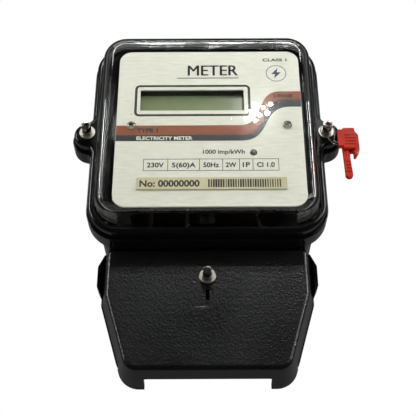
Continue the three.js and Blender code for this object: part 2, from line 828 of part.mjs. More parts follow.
function makeTerminalCover() {
  const bottom = rimBottom - terminalCover.length;
  const outlineAt = (inset, top) => chamberOutline(inset, top, bottom, terminalCover.cornerRadius);
  const edgeOut = terminalCover.front - terminalCover.edgeDepth;
  const outer = [{ out: terminalCover.footClear, outline: outlineAt(0, coverTop) }];
  for (let step = 0; step <= edgeSteps; step += 1) {
    const angle = (step / edgeSteps) * (Math.PI / 2);
    const inset = terminalCover.sideDraft + terminalCover.edgeRun * (1 - Math.cos(angle));
    outer.push({
      out: edgeOut + terminalCover.edgeDepth * Math.sin(angle),
      outline: outlineAt(inset, coverTop),
    });
  }
  const openTop = coverTop + 3;
  const wall = terminalCover.wall;
  const innerFront = terminalCover.front - terminalCover.faceWall;
  const inner = [
    { out: -cutOver, outline: outlineAt(wall, openTop) },
    { out: innerFront, outline: outlineAt(wall + terminalCover.sideDraft, openTop) },
  ];
  const plateRoom = chamberOutline(
    -touchGap,
    openTop,
    plateBottom - touchGap,
    chamber.plateCornerRadius,
  );
  const slotZ = terminalScrewZ - terminalCover.slotBelowScrew;
  const slotHalf = terminalCover.slotWidth / 2;
  const slotRun = terminalCover.slotLength / 2 - slotHalf;
  const throughFace = [block.front, terminalCover.front + cutOver];
  return cut(loft(outer), [
    loft(inner),
    slab(plateRoom, -cutOver, base.backWall + touchGap),
    cuboid(
      -terminalCover.notchHalfWidth,
      terminalCover.notchHalfWidth,
      -cutOver,
      terminalCover.notchDepth,
      bottom - cutOver,
      bottom + terminalCover.cornerRadius,
    ),
    cuboid(-slotHalf, slotHalf, ...throughFace, slotZ - slotRun, slotZ + slotRun),
    rodOut(0, slotZ - slotRun, slotHalf, ...throughFace),
    rodOut(0, slotZ + slotRun, slotHalf, ...throughFace),
    rodOut(0, terminalScrewZ, sealScrew.shankRadius + shankGap, ...throughFace),
  ]);
}

// ---- nameplate, display and board ---------------------------------------------------------------

// Local x and z, measured from the middle of the nameplate.
const plateX = (x) => x - plate.centreX;
const plateZ = (z) => z - plate.centreZ;

function plateOutline(inset) {
  const size = {
    halfWidth: plate.width / 2,
    top: plate.height / 2,
    bottom: -plate.height / 2,
    cornerRadius: plate.cornerRadius,
  };
  return roundedOutline(size, inset);
}

function plateHoles(extra, fromOut, toOut) {
  const halfWidth = display.width / 2 + extra;
  const halfHeight = display.height / 2 + extra;
  const x = plateX(display.x);
  const z = plateZ(display.z);
  const screwHole = plateScrew.shankRadius + touchGap + extra / 2;
  return [
    cuboid(x - halfWidth, x + halfWidth, fromOut, toOut, z - halfHeight, z + halfHeight),
    rodOut(plateX(led.x), plateZ(led.z), led.radius + touchGap + extra, fromOut, toOut),
    ...[-1, 1].map((side) => rodOut(
      side * plateScrew.halfSpacing, plateZ(plateScrew.z), screwHole, fromOut, toOut,
    )),
  ];
}

function makeNameplate() {
  const sheet = slab(plateOutline(0), plateBack, plateFront);
  return cut(sheet, plateHoles(0, plateBack - cutOver, plateFront + cutOver));
}

function makeCarrier() {
  const sheet = slab(plateOutline(carrier.inset), carrierBack, carrierFront);
  return cut(sheet, plateHoles(carrier.holeGap, carrierBack - cutOver, carrierFront + cutOver));
}

function makePanScrew(size, seat) {
  const under = seat + touchGap;
  const top = under + size.headHeight;
  const body = turned([
    [0, under - size.length],
    [size.shankRadius, under - size.length + 0.5],
    [size.shankRadius, under],
    [size.headRadius, under],
    [size.headRadius, under + 0.4 * size.headHeight],
    [0.6 * size.headRadius, top],
    [0, top],
  ], 0, 0);
  const floor = top - crossRecess.depth;
  const halfLength = crossRecess.length / 2;
  const halfWidth = crossRecess.width / 2;
  return cut(body, [
    cuboid(-halfLength, halfLength, floor, top + cutOver, -halfWidth, halfWidth),
    cuboid(-halfWidth, halfWidth, floor, top + cutOver, -halfLength, halfLength),
  ]);
}

const glassFront = carrierBack - touchGap;
const glassBack = glassFront - display.glassThickness;
const glassHalfWidth = display.width / 2 + display.glassMargin;
const glassHalfHeight = display.height / 2 + display.glassMargin;

function makeGlass() {
  return cuboid(-glassHalfWidth, glassHalfWidth, glassBack, glassFront, -glassHalfHeight, glassHalfHeight);
}

function makeDisplayFrame() {
  const innerX = glassHalfWidth + touchGap;
  const innerZ = glassHalfHeight + touchGap;
  const outerX = innerX + display.frameWall;
  const outerZ = innerZ + display.frameWall;
  const back = boardFront + touchGap;
  const outside = cuboid(-outerX, outerX, back, glassFront, -outerZ, outerZ);
  return cut(outside, [cuboid(-innerX, innerX, back - cutOver, glassFront + cutOver, -innerZ, innerZ)]);
}

function makeStrip(side) {
  const z = side * (glassHalfHeight - display.stripThickness / 2);
  const halfThickness = display.stripThickness / 2;
  const length = glassHalfWidth - 1;
  const foot = boardFront + touchGap;
  return cuboid(-length, length, foot, glassBack - touchGap, z - halfThickness, z + halfThickness);
}

function makeLed() {
  const top = plateFront + led.proud;
  const foot = top - led.bodyLength;
  const flangeTop = foot + led.flangeHeight;
  const bulb = turned([
    [0, foot],
    [led.flangeRadius, foot],
    [led.flangeRadius, flangeTop],
    [led.radius, flangeTop],
    [led.radius, top - led.radius],
    [led.radius * 0.87, top - led.radius * 0.5],
    [led.radius * 0.5, top - led.radius * 0.13],
    [0, top],
  ], 0, 0);
  const half = led.legWidth / 2;
  const legs = [-led.legSpread, led.legSpread].map((x) => (
    cuboid(x - half, x + half, boardFront + touchGap, foot + led.flangeHeight / 2, -half, half)
  ));
  return fuse([bulb, ...legs]);
}

function makeLabel() {
  const back = plateFront + touchGap;
  const halfWidth = label.width / 2;
  const halfHeight = label.height / 2;
  return cuboid(-halfWidth, halfWidth, back, back + label.thickness, -halfHeight, halfHeight);
}

function makeBoard() {
  const { halfWidth, halfHeight } = board;
  const sheet = cuboid(-halfWidth, halfWidth, boardBack, boardFront, -halfHeight, halfHeight);
  const hole = boardScrew.shankRadius + touchGap;
  const through = [boardBack - cutOver, boardFront + cutOver];
  return cut(sheet, [
    ...boardCorners.map(([x, z]) => rodOut(x, z, hole, ...through)),
    ...platePosts.map((x) => rodOut(x, plateScrew.z, post.radius + board.postGap, ...through)),
  ]);
}

function makeChip() {
  const foot = boardFront + touchGap;
  const bodyBack = foot + chip.standOff;
  const bodyFront = bodyBack + chip.thickness;
  const { halfWidth, halfHeight, pinReach } = chip;
  const body = cuboid(-halfWidth, halfWidth, bodyBack, bodyFront, -halfHeight, halfHeight);
  const pins = Array.from({ length: chip.pinsEachSide }, (unused, index) => {
    const x = (index - (chip.pinsEachSide - 1) / 2) * chip.pinPitch;
    const half = chip.pinWidth / 2;
    return cuboid(x - half, x + half, foot, foot + chip.pinThickness, -pinReach, pinReach);
  });
  return fuse([body, ...pins]);
}

function makeDropper() {
  const top = boardBack - touchGap;
  const { halfWidth, halfHeight, depth } = dropper;
  return cuboid(-halfWidth, halfWidth, top - depth, top, -halfHeight, halfHeight);
}

function makeReservoir() {
  const top = boardBack - touchGap;
  const { radius, chamfer, length } = reservoir;
  return turned([
    [0, top - length],
    [radius - chamfer, top - length],
    [radius, top - length + chamfer],
    [radius, top],
    [0, top],
  ], 0, 0);
}

function makeVaristor() {
  const top = boardBack - touchGap;
  const { radius, thickness, centreOff, legHalf, legSpread } = varistor;
  const disc = new THREE.CylinderGeometry(radius, radius, thickness, boreSides);
  disc.rotateZ(Math.PI / 2);
  disc.translate(0, -(top - centreOff), 0);
  const legs = [-legSpread, legSpread].map((z) => (
    cuboid(-legHalf, legHalf, top - radius, top, z - legHalf, z + legHalf)
  ));
  return fuse([solid(disc), ...legs]);
}

function makeCrystal() {
  const foot = boardFront + touchGap;
  const size = {
    halfWidth: crystal.halfWidth,
    top: crystal.halfHeight,
    bottom: -crystal.halfHeight,
    cornerRadius: crystal.cornerRadius,
  };
  return slab(roundedOutline(size), foot, foot + crystal.height);
}

// ---- hanger -------------------------------------------------------------------------------------

function makeHanger() {
  const size = {
    halfWidth: hanger.halfWidth,
    top: hanger.top,
    bottom: hanger.bottom,
    cornerRadius: 3,
  };
  const slotHalf = hanger.shankRadius + touchGap;
  const sheet = slab(roundedOutline(size), hangerBack, hangerFront);
  const through = [hangerBack - cutOver, hangerFront + cutOver];
  return cut(sheet, [
    cuboid(-slotHalf, slotHalf, ...through, hanger.screwZ - hanger.travel, hanger.screwZ),
    rodOut(0, hanger.screwZ, slotHalf, ...through),
    rodOut(0, hanger.screwZ - hanger.travel, slotHalf, ...through),
    rodOut(0, hanger.top - hanger.holeBelowTop, hanger.holeRadius, ...through, boreSides),
  ]);
}

function makeHangerScrew() {
  const headBack = hangerHead - hanger.headHeight;
  return turned([
    [0, headBack],
    [hanger.headRadius, headBack],
    [hanger.headRadius, hangerHead],
    [hanger.shankRadius, hangerHead],
    [hanger.shankRadius, hangerTip],
    [0, hangerTip],
  ], 0, 0);
}

// ---- leads inside the case, from the terminals to the board -------------------------------------

const leadStart = tongueFace + shunt.thickness + touchGap;
const leadEnd = boardBack - touchGap;

function makeLead(fromX, toX) {
  const barZ = (barTop + barBottom) / 2;
  const middle = (leadStart + leadEnd) / 2;
  const toZ = lead.boardZ;
  return tube([
    [fromX, leadStart, barZ],
    [fromX, leadStart + lead.straight, barZ],
    [(fromX * 2 + toX) / 3, middle - 1, barZ + lead.straight],
    [(fromX + toX * 2) / 3, middle + 2, toZ - 2],
    [toX, leadEnd - lead.straight, toZ],
    [toX, leadEnd, toZ],
  ], lead.radius, lead.steps);
}

// ---- twist seal ---------------------------------------------------------------------------------

const earScrewTop = frameFront + 2 * touchGap + washer.thickness + sealScrew.headHeight;
const crossHoleOut = earScrewTop - sealScrew.crossHoleBelowTop;

function makeSealBody() {
  const { top, bottom } = seal;
  const main = cuboid(sealBodyLeft, sealBodyRight, sealBack, sealFront, bottom, top);
  const lug = cuboid(
    sealLeft,
    sealBodyLeft + 1,
    sealFront - seal.lugDepth,
    sealFront,
    bottom + seal.lugInset,
    top - seal.lugInset,
  );
  const cheekBottom = bottom - seal.cheekBelow;
  const cheek = filletedPoints([
    [sealBodyRight - 1, cheekBottom, 0.4],
    [sealBodyRight, cheekBottom, 0.8],
    [sealTip, bottom - 0.5, 0.8],
    [sealTip, top - 4, 0.8],
    [sealBodyRight, top - 1.5, 0.4],
    [sealBodyRight - 1, top - 1.5, 0.4],
  ], true);
  const cheekSlab = slab(cheek, sealBack + seal.cheekInset, sealFront - seal.cheekInset);
  const boreRadius = seal.rotorRadius + touchGap;
  const bore = rodUp(rotorX, rotorOut, boreRadius, cheekBottom - 1, rotorTop + touchGap);
  return cut(fuse([main, lug, cheekSlab]), [bore]);
}

function makeSealRotor() {
  const flagTop = seal.bottom - touchGap;
  const half = seal.flagWidth / 2;
  const flag = filletedPoints([
    [rotorX - half, flagTop, 0.3],
    [rotorX - half + 0.3, seal.flagEnd, half - 0.4],
    [rotorX + half - 0.3, seal.flagEnd, half - 0.4],
    [rotorX + half - 1.2, flagTop, 0.3],
  ], true);
  const halfThickness = seal.flagThickness / 2;
  return fuse([
    rodUp(rotorX, rotorOut, seal.rotorRadius, seal.bottom - 3, rotorTop),
    slab(flag, rotorOut - halfThickness, rotorOut + halfThickness),
  ]);
}

// The wire leaves the seal, goes through the head's cross hole and comes back round it.
function makeSealWire() {
  const lugX = sealLeft - touchGap;
  const side = sealScrew.headRadius + sealWire.aroundHead;
  const low = frameFront + washer.thickness + 2 * touchGap + 0.5;
  return tube([
    [lugX, low + 1, -8.4],
    [lugX - 1.6, low + 0.8, -6.8],
    [earX + side + 0.3, low + 2, -3.6],
    [earX + side, crossHoleOut, -0.5],
    [earX + side - 0.9, crossHoleOut, 0],
    [earX, crossHoleOut, 0],
    [earX - side + 0.9, crossHoleOut, 0],
    [earX - side, crossHoleOut, -0.5],
    [earX - side - 0.2, crossHoleOut - 1.4, -3.2],
    [earX - 0.4, low + 1.6, -5.2],
    [lugX - 2.4, low + 0.2, -7.9],
    [lugX, low + 0.1, -9.4],
  ], sealWire.radius, sealWire.steps);
}

// ---- the assembly -------------------------------------------------------------------------------

addPiece('base_housing', makeBase(), materials.blackGloss);
addPiece('cover_frame', makeCoverFrame(), materials.blackGloss);
addPiece('window', makeWindow(), materials.clear);
addPiece('cover_gasket', makeGasket(), materials.rubber);
addPiece('terminal_cover', makeTerminalCover(), materials.blackGrain);
addPiece('terminal_block', makeBlock(), materials.phenolic);

const terminalNames = ['line_in', 'line_out', 'neutral_in', 'neutral_out'];
terminalNames.forEach((name, index) => {
  const place = { x: terminalXs[index], z: 0 };
  addPiece(`${name}_terminal`, makeTerminal(), materials.brass, place);
  clampZs().forEach((z, row) => {
    const side = row === 0 ? 'lower' : 'upper';
    addPiece(`${name}_${side}_clamp_screw`, makeClampScrew(), materials.zinc, { x: terminalXs[index], z });
  });
});
const bridgeX = terminal.pitch;
addPiece('current_shunt', makeBridge(shunt.neckHeight), materials.copper, { x: -bridgeX, z: 0 });
addPiece('neutral_link', makeBridge(shunt.height), materials.copper, { x: bridgeX, z: 0 });

for (const [name, x, z, seat, front] of [
  ['left', -earX, 0, frameFront, base.depth],
  ['right', earX, 0, frameFront, base.depth],
  ['terminal', 0, terminalScrewZ, terminalCover.front, block.front],
]) {
  addPiece(`${name}_insert`, makeInsert(front), materials.brass, { x, z });
  addPiece(`${name}_washer`, makeWasher(seat), materials.nickel, { x, z });
  addPiece(`${name}_sealing_screw`, makeSealScrew(seat), materials.nickel, { x, z });
}

const plateCentre = { x: plate.centreX, z: plate.centreZ };
addPiece('nameplate', makeNameplate(), materials.plateCream, plateCentre);
addPiece('plate_carrier', makeCarrier(), materials.greyPlastic, plateCentre);
addPiece('serial_label', makeLabel(), materials.labelBuff, { x: label.x, z: label.z });
platePosts.forEach((x, index) => {
  const side = index === 0 ? 'left' : 'right';
  const place = { x, z: plateScrew.z };
  addPiece(`${side}_plate_screw`, makePanScrew(plateScrew, plateFront), materials.zinc, place);
});
addPiece('lcd_glass', makeGlass(), materials.lcd, display);
addPiece('lcd_frame', makeDisplayFrame(), materials.whitePlastic, display);
addPiece('upper_contact_strip', makeStrip(1), materials.silicone, display);
addPiece('lower_contact_strip', makeStrip(-1), materials.silicone, display);
addPiece('pulse_led', makeLed(), materials.ledRed, led);
addPiece('main_board', makeBoard(), materials.boardGreen);
boardCorners.forEach(([x, z], index) => {
  addPiece(`board_screw_${index + 1}`, makePanScrew(boardScrew, boardFront), materials.zinc, { x, z });
});
addPiece('metering_chip', makeChip(), materials.chip, chip);
addPiece('timing_crystal', makeCrystal(), materials.zinc, crystal);
addPiece('dropper_capacitor', makeDropper(), materials.capYellow, dropper);
addPiece('reservoir_capacitor', makeReservoir(), materials.capSleeve, reservoir);
addPiece('surge_varistor', makeVaristor(), materials.varistorBlue, varistor);

addPiece('line_lead', makeLead(terminalXs[0], lead.boardX[0]), materials.leadRed);
addPiece('shunt_lead', makeLead(terminalXs[1], lead.boardX[1]), materials.leadWhite);
addPiece('neutral_lead', makeLead(terminalXs[3], lead.boardX[2]), materials.leadBlack);

addPiece('hanger_bracket', makeHanger(), materials.zinc);
addPiece('hanger_screw', makeHangerScrew(), materials.zinc, { x: 0, z: hanger.screwZ });

addPiece('seal_body', makeSealBody(), materials.sealRed);
addPiece('seal_rotor', makeSealRotor(), materials.sealRed);
addPiece('seal_wire', makeSealWire(), materials.steelWire);

export default meter;
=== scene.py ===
# A single-phase electricity meter for a wall: clear window in a black frame, terminal cover below it.
import json
import math

import bmesh
import bpy
from mathutils import Matrix, Vector

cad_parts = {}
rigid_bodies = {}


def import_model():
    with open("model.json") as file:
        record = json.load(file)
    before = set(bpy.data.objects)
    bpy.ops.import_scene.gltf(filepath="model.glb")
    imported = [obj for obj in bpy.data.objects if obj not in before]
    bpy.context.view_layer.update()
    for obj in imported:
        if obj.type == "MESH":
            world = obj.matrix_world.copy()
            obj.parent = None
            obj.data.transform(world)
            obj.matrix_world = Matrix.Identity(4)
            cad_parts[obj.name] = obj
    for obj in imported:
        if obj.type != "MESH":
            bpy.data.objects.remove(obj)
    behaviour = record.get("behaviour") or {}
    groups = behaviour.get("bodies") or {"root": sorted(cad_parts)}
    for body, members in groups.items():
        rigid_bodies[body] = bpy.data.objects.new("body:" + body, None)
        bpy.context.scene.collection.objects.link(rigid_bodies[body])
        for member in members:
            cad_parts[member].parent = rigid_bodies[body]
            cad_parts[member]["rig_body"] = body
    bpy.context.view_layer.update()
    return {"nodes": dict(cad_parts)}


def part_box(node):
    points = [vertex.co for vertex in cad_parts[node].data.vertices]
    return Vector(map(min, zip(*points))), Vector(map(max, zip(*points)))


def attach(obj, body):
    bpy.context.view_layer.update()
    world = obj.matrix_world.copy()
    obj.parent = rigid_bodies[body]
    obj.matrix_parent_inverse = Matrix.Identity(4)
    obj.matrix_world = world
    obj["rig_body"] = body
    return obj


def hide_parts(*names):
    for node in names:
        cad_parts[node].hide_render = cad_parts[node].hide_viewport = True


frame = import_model()
nodes = frame["nodes"]

# Shapes are drawn in millimetres as (x, out, z), where out is the distance from the wall towards the viewer.


def linear(colour):  # sRGB hex to linear RGBA
    parts = [int(colour[start:start + 2], 16) / 255 for start in (1, 3, 5)]
    return [part / 12.92 if part <= 0.04045 else ((part + 0.055) / 1.055) ** 2.4 for part in parts] + [1.0]


def addNode(tree, kind, settings=None, inputs=None):  # an input is a value or the socket that feeds it
    node = tree.nodes.new(kind)
    for name, value in (settings or {}).items():
        setattr(node, name, value)
    for name, value in (inputs or {}).items():
        if isinstance(value, bpy.types.NodeSocket):
            tree.links.new(value, node.inputs[name])
        else:
            node.inputs[name].default_value = value
    return node


def sizeOf(name):  # a CAD node's box and the middle of its face, in millimetres
    low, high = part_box(name)
    left, right, bottom, top = low.x * 1000, high.x * 1000, low.z * 1000, high.z * 1000
    return {
        "left": left, "right": right, "x": (left + right) / 2,
        "bottom": bottom, "top": top, "z": (top + bottom) / 2,
        "back": -high.y * 1000, "front": -low.y * 1000,
    }


def toMetres(x, out, z):
    return Vector((x, -out, z)) / 1000


def arc(x, z, radius, fromAngle, toAngle, steps):
    turns = [fromAngle + (toAngle - fromAngle) * step / steps for step in range(steps + 1)]
    return [(x + radius * math.cos(turn), z + radius * math.sin(turn)) for turn in turns]


def mirrored(half):
    return half + [(-x, z) for x, z in reversed(half)]


def rounded(box, radius, inset=0, steps=14):  # box is left, right, bottom, top
    left, right, bottom, top = box
    radius = max(radius - inset, 0.05)
    reach = inset + radius
    quarter = math.pi / 2
    return (
        arc(right - reach, bottom + reach, radius, -quarter, 0, steps)
        + arc(right - reach, top - reach, radius, 0, quarter, steps)
        + arc(left + reach, top - reach, radius, quarter, 2 * quarter, steps)
        + arc(left + reach, bottom + reach, radius, 2 * quarter, 3 * quarter, steps)
    )


def filleted(corners, steps=8):  # an outline through corners (x, z, radius), closed
    points = []
    for number, (x, z, radius) in enumerate(corners):
        corner = Vector((x, z))
        before = (Vector(corners[number - 1][:2]) - corner).normalized()
        after = (Vector(corners[(number + 1) % len(corners)][:2]) - corner).normalized()
        half = math.acos(max(-1, min(1, before.dot(after)))) / 2
        if half > math.pi / 2 - 0.01:
            points.append((x, z))
            continue
        centre = corner + (before + after).normalized() * (radius / math.sin(half))
        start = corner + before * (radius / math.tan(half)) - centre
        turn = (math.pi - 2 * half) * (1 if before.cross(after) < 0 else -1)
        angle = math.atan2(start.y, start.x)
        points += arc(centre.x, centre.y, radius, angle, angle + turn, steps)
    return points


def newPiece(name, mesh):
    piece = bpy.data.objects.new(name, mesh)
    bpy.context.scene.collection.objects.link(piece)
    return piece


def meshOf(build, name):  # build is a bmesh
    bmesh.ops.recalc_face_normals(build, faces=build.faces)
    mesh = bpy.data.meshes.new(name)
    build.to_mesh(mesh)
    build.free()
    return mesh


def loft(sections, name="solid"):  # a closed solid through (out, outline) sections
    build = bmesh.new()
    rings = [[build.verts.new(toMetres(x, out, z)) for x, z in outline] for out, outline in sections]
    count = len(rings[0])
    for low, high in zip(rings, rings[1:]):
        for step in range(count):
            after = (step + 1) % count
            build.faces.new((low[step], low[after], high[after], high[step]))
    build.faces.new(rings[0])
    build.faces.new(rings[-1])
    return newPiece(name, meshOf(build, name))


def slab(outline, back, front, name="solid"):
    return loft([(back, outline), (front, outline)], name)


def block(left, right, back, front, bottom, top, name="solid"):
    return slab([(left, bottom), (right, bottom), (right, top), (left, top)], back, front, name)


def turned(profile, x, z, sides=48, name="solid"):  # (radius, out) turned about a line out of the wall
    build = bmesh.new()
    rings = []
    for radius, out in profile:
        if radius < 1e-6:
            rings.append([build.verts.new(toMetres(x, out, z))])
            continue
        turns = [2 * math.pi * side / sides for side in range(sides)]
        spots = [(x + radius * math.cos(turn), out, z + radius * math.sin(turn)) for turn in turns]
        rings.append([build.verts.new(toMetres(*spot)) for spot in spots])
    for low, high in zip(rings, rings[1:]):
        for side in range(sides):
            after = side + 1
            around = ((low, side), (low, after), (high, after), (high, side))
            corners = [ring[number % len(ring)] for ring, number in around]
            build.faces.new(list(dict.fromkeys(corners)))
    return newPiece(name, meshOf(build, name))


def disc(x, z, radius, back, front, sides=40, name="solid"):
    return turned([(0, back), (radius, back), (radius, front), (0, front)], x, z, sides, name)


def rodAlong(start, end, radius, sides=24):  # a round rod between two points, in millimetres
    first, last = toMetres(*start), toMetres(*end)
    build = bmesh.new()
    bmesh.ops.create_cone(
        build, cap_ends=True, segments=sides, radius1=radius / 1000, radius2=radius / 1000,
        depth=(last - first).length,
    )
    turn = (last - first).to_track_quat("Z", "Y").to_matrix().to_4x4()
    build.transform(Matrix.Translation((first + last) / 2) @ turn)
    return newPiece("rod", meshOf(build, "rod"))


def applied(piece):  # the piece with its modifiers in its mesh
    graph = bpy.context.evaluated_depsgraph_get()
    graph.update()
    mesh = bpy.data.meshes.new_from_object(piece.evaluated_get(graph), depsgraph=graph)
    piece.modifiers.clear()
    piece.data = mesh
    return piece


def combine(piece, others, operation):
    for other in others:
        step = piece.modifiers.new("join", "BOOLEAN")
        step.operation = operation
        step.solver = "MANIFOLD"
        step.object = other
    applied(piece)
    for other in others:
        bpy.data.objects.remove(other)
    return piece


def carve(piece, cutters):
    return combine(piece, cutters, "DIFFERENCE")


def fuse(pieces):
    return combine(pieces[0], pieces[1:], "UNION")


def smooth(piece, sharp=32, bevel=0, segments=2):  # soft edges where bevel is given, then even shading
    mesh = piece.data
    corner = math.radians(sharp)
    build = bmesh.new()
    build.from_mesh(mesh)
    bmesh.ops.remove_doubles(build, verts=build.verts, dist=1e-7)
    if bevel:
        bmesh.ops.dissolve_limit(build, angle_limit=math.radians(0.5), verts=build.verts, edges=build.edges)
        edges = [edge for edge in build.edges if edge.is_manifold and edge.calc_face_angle(0) > corner]
        bmesh.ops.bevel(
            build, geom=edges, offset=bevel / 1000, segments=segments, profile=0.5,
            affect="EDGES", clamp_overlap=True,
        )
    for edge in build.edges:
        edge.smooth = edge.is_manifold and edge.calc_face_angle(0) < corner
    for face in build.faces:
        face.smooth = True
    build.to_mesh(mesh)
    build.free()
    weight = piece.modifiers.new("weight", "WEIGHTED_NORMAL")
    weight.keep_sharp = True
    weight.weight = 80
    return applied(piece)


def dress(piece, body, finish, replaced=()):
    piece.data.materials.clear()
    piece.data.materials.append(finish)
    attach(piece, body)
    if replaced:
        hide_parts(*replaced)
    return piece


viewFrom = {"place": (0.0004, -0.3844, -0.2463), "tilt": 30, "roll": -0.25, "lens": 72.9, "nearest": 0.01}


def makeCamera():  # from below, looking up at the front
    lens = bpy.data.cameras.new("camera")
    lens.lens = viewFrom["lens"]
    lens.sensor_width = 36
    lens.clip_start = viewFrom["nearest"]
    camera = bpy.data.objects.new("camera", lens)
    camera.matrix_world = (
        Matrix.Translation(viewFrom["place"])
        @ Matrix.Rotation(math.radians(90 + viewFrom["tilt"]), 4, "X")
        @ Matrix.Rotation(math.radians(viewFrom["roll"]), 4, "Z")
    )
    bpy.context.scene.collection.objects.link(camera)
    bpy.context.scene.camera = camera
    bpy.context.scene.view_settings.view_transform = "Standard"


makeCamera()
print("camera ready")


def startMaterial(name, colour, roughness, metallic=0.0, ior=1.5):
    material = bpy.data.materials.new(name)
    material.use_nodes = True
    tree = material.node_tree
    shader = tree.nodes["Principled BSDF"]
    shader.inputs["Base Color"].default_value = linear(colour)
    shader.inputs["Roughness"].default_value = roughness
    shader.inputs["Metallic"].default_value = metallic
    shader.inputs["IOR"].default_value = ior
    place = addNode(tree, "ShaderNodeTexCoord").outputs["Object"]
    return material, tree, shader, place


def perMetre(millimetres):  # a pattern's scale from the real size of one mark
    return 1000 / millimetres


# Polished ABS, moulded: deep black with a sharp gloss, a slow orange-peel wave and a little dust.
def makePolishedAbs():
    material, tree, shader, place = startMaterial("polishedBlackAbs", "#08090A", 0.16, ior=1.53)
    wave = addNode(tree, "ShaderNodeTexNoise", None, {"Vector": place, "Scale": perMetre(5), "Detail": 2.0})
    wiped = addNode(tree, "ShaderNodeTexNoise", None, {"Vector": place, "Scale": perMetre(22), "Detail": 4.0})
    gloss = addNode(tree, "ShaderNodeMapRange", None, {
        "Value": wiped.outputs["Fac"], "From Min": 0.3, "From Max": 0.7, "To Min": 0.11, "To Max": 0.24,
    })
    speck = addNode(tree, "ShaderNodeTexVoronoi", {"feature": "F1"}, {
        "Vector": place, "Scale": perMetre(3.5),
    })
    dust = addNode(tree, "ShaderNodeMapRange", None, {
        "Value": speck.outputs["Distance"], "From Min": 0.05, "From Max": 0.09, "To Min": 0.35, "To Max": 0.0,
    })
    sparse = addNode(tree, "ShaderNodeTexNoise", None, {"Vector": place, "Scale": perMetre(9), "Detail": 1.0})
    where = addNode(tree, "ShaderNodeMapRange", None, {
        "Value": sparse.outputs["Fac"], "From Min": 0.55, "From Max": 0.7, "To Min": 0.0, "To Max": 1.0,
    })
    amount = addNode(tree, "ShaderNodeMath", {"operation": "MULTIPLY"}, {
        0: dust.outputs["Result"], 1: where.outputs["Result"],
    })
    colour = addNode(tree, "ShaderNodeMix", {"data_type": "RGBA"}, {
        0: amount.outputs[0], 6: linear("#08090A"), 7: linear("#6E7072"),
    })
    bump = addNode(tree, "ShaderNodeBump", None, {
        "Height": wave.outputs["Fac"], "Strength": 0.25, "Distance": 0.00006,
    })
    tree.links.new(colour.outputs[2], shader.inputs["Base Color"])
    tree.links.new(gloss.outputs["Result"], shader.inputs["Roughness"])
    tree.links.new(bump.outputs["Normal"], shader.inputs["Normal"])
    return material


scuff = {"x": -2.0, "z": -88.8, "long": 9.3, "wide": 0.5}  # one pale scrape across the terminal cover


# ABS moulded in a spark-eroded tool: charcoal with a fine leather grain, at twice its real pitch to show.
def makeGrainedAbs():
    material, tree, shader, place = startMaterial("grainedBlackAbs", "#0D0E0F", 0.4, ior=1.53)
    shader.inputs["Specular IOR Level"].default_value = 0.6  # a waxy mould-release sheen lies on the grain
    grain = addNode(tree, "ShaderNodeTexVoronoi", {"feature": "SMOOTH_F1"}, {
        "Vector": place, "Scale": perMetre(1.0), "Smoothness": 0.4,
    })
    fine = addNode(tree, "ShaderNodeTexNoise", None, {
        "Vector": place, "Scale": perMetre(0.45), "Detail": 3.0,
    })
    height = addNode(tree, "ShaderNodeMath", {"operation": "MULTIPLY_ADD"}, {
        0: fine.outputs["Fac"], 1: 0.6, 2: grain.outputs["Distance"],
    })
    mottle = addNode(tree, "ShaderNodeTexNoise", None, {
        "Vector": place, "Scale": perMetre(26), "Detail": 5.0,
    })
    colour = addNode(tree, "ShaderNodeMix", {"data_type": "RGBA"}, {
        0: mottle.outputs["Fac"], 6: linear("#0A0B0C"), 7: linear("#131415"),
    })
    gloss = addNode(tree, "ShaderNodeMapRange", None, {
        "Value": mottle.outputs["Fac"], "From Min": 0.3, "From Max": 0.7, "To Min": 0.27, "To Max": 0.36,
    })
    scratch = addNode(tree, "ShaderNodeTexNoise", {"noise_dimensions": "3D"}, {
        "Vector": addNode(tree, "ShaderNodeMapping", None, {
            "Vector": place, "Rotation": (0, 0.7, 0), "Scale": (1, 1, 30),
        }).outputs["Vector"],
        "Scale": perMetre(60), "Detail": 2.0,
    })
    rubbed = addNode(tree, "ShaderNodeMath", {"operation": "MULTIPLY_ADD"}, {
        0: scratch.outputs["Fac"], 1: 0.35, 2: height.outputs[0],
    })
    bump = addNode(tree, "ShaderNodeBump", None, {
        "Height": rubbed.outputs[0], "Strength": 0.7, "Distance": 0.00011,
    })
    across, upwards = perMetre(scuff["long"] / 2), perMetre(scuff["wide"] / 2)
    along = addNode(tree, "ShaderNodeMapping", None, {
        "Vector": place, "Scale": (across, 0, upwards),
        "Location": (-scuff["x"] / 1000 * across, 0, -scuff["z"] / 1000 * upwards),
    })
    away = addNode(tree, "ShaderNodeVectorMath", {"operation": "LENGTH"}, {0: along.outputs["Vector"]})
    line = addNode(tree, "ShaderNodeMapRange", None, {
        "Value": away.outputs["Value"], "From Min": 0.7, "From Max": 1.0, "To Min": 1.0, "To Max": 0.0,
    })
    skip = addNode(tree, "ShaderNodeTexNoise", None, {"Vector": place, "Scale": perMetre(1.3), "Detail": 2.0})
    broken = addNode(tree, "ShaderNodeMapRange", None, {
        "Value": skip.outputs["Fac"], "From Min": 0.4, "From Max": 0.55, "To Min": 0.15, "To Max": 0.9,
    })
    rubOff = addNode(tree, "ShaderNodeMath", {"operation": "MULTIPLY"}, {
        0: line.outputs["Result"], 1: broken.outputs["Result"],
    })
    scuffed = addNode(tree, "ShaderNodeMix", {"data_type": "RGBA"}, {
        0: rubOff.outputs[0], 6: colour.outputs[2], 7: linear("#8E8C86"),
    })
    tree.links.new(scuffed.outputs[2], shader.inputs["Base Color"])
    tree.links.new(gloss.outputs["Result"], shader.inputs["Roughness"])
    tree.links.new(bump.outputs["Normal"], shader.inputs["Normal"])
    return material


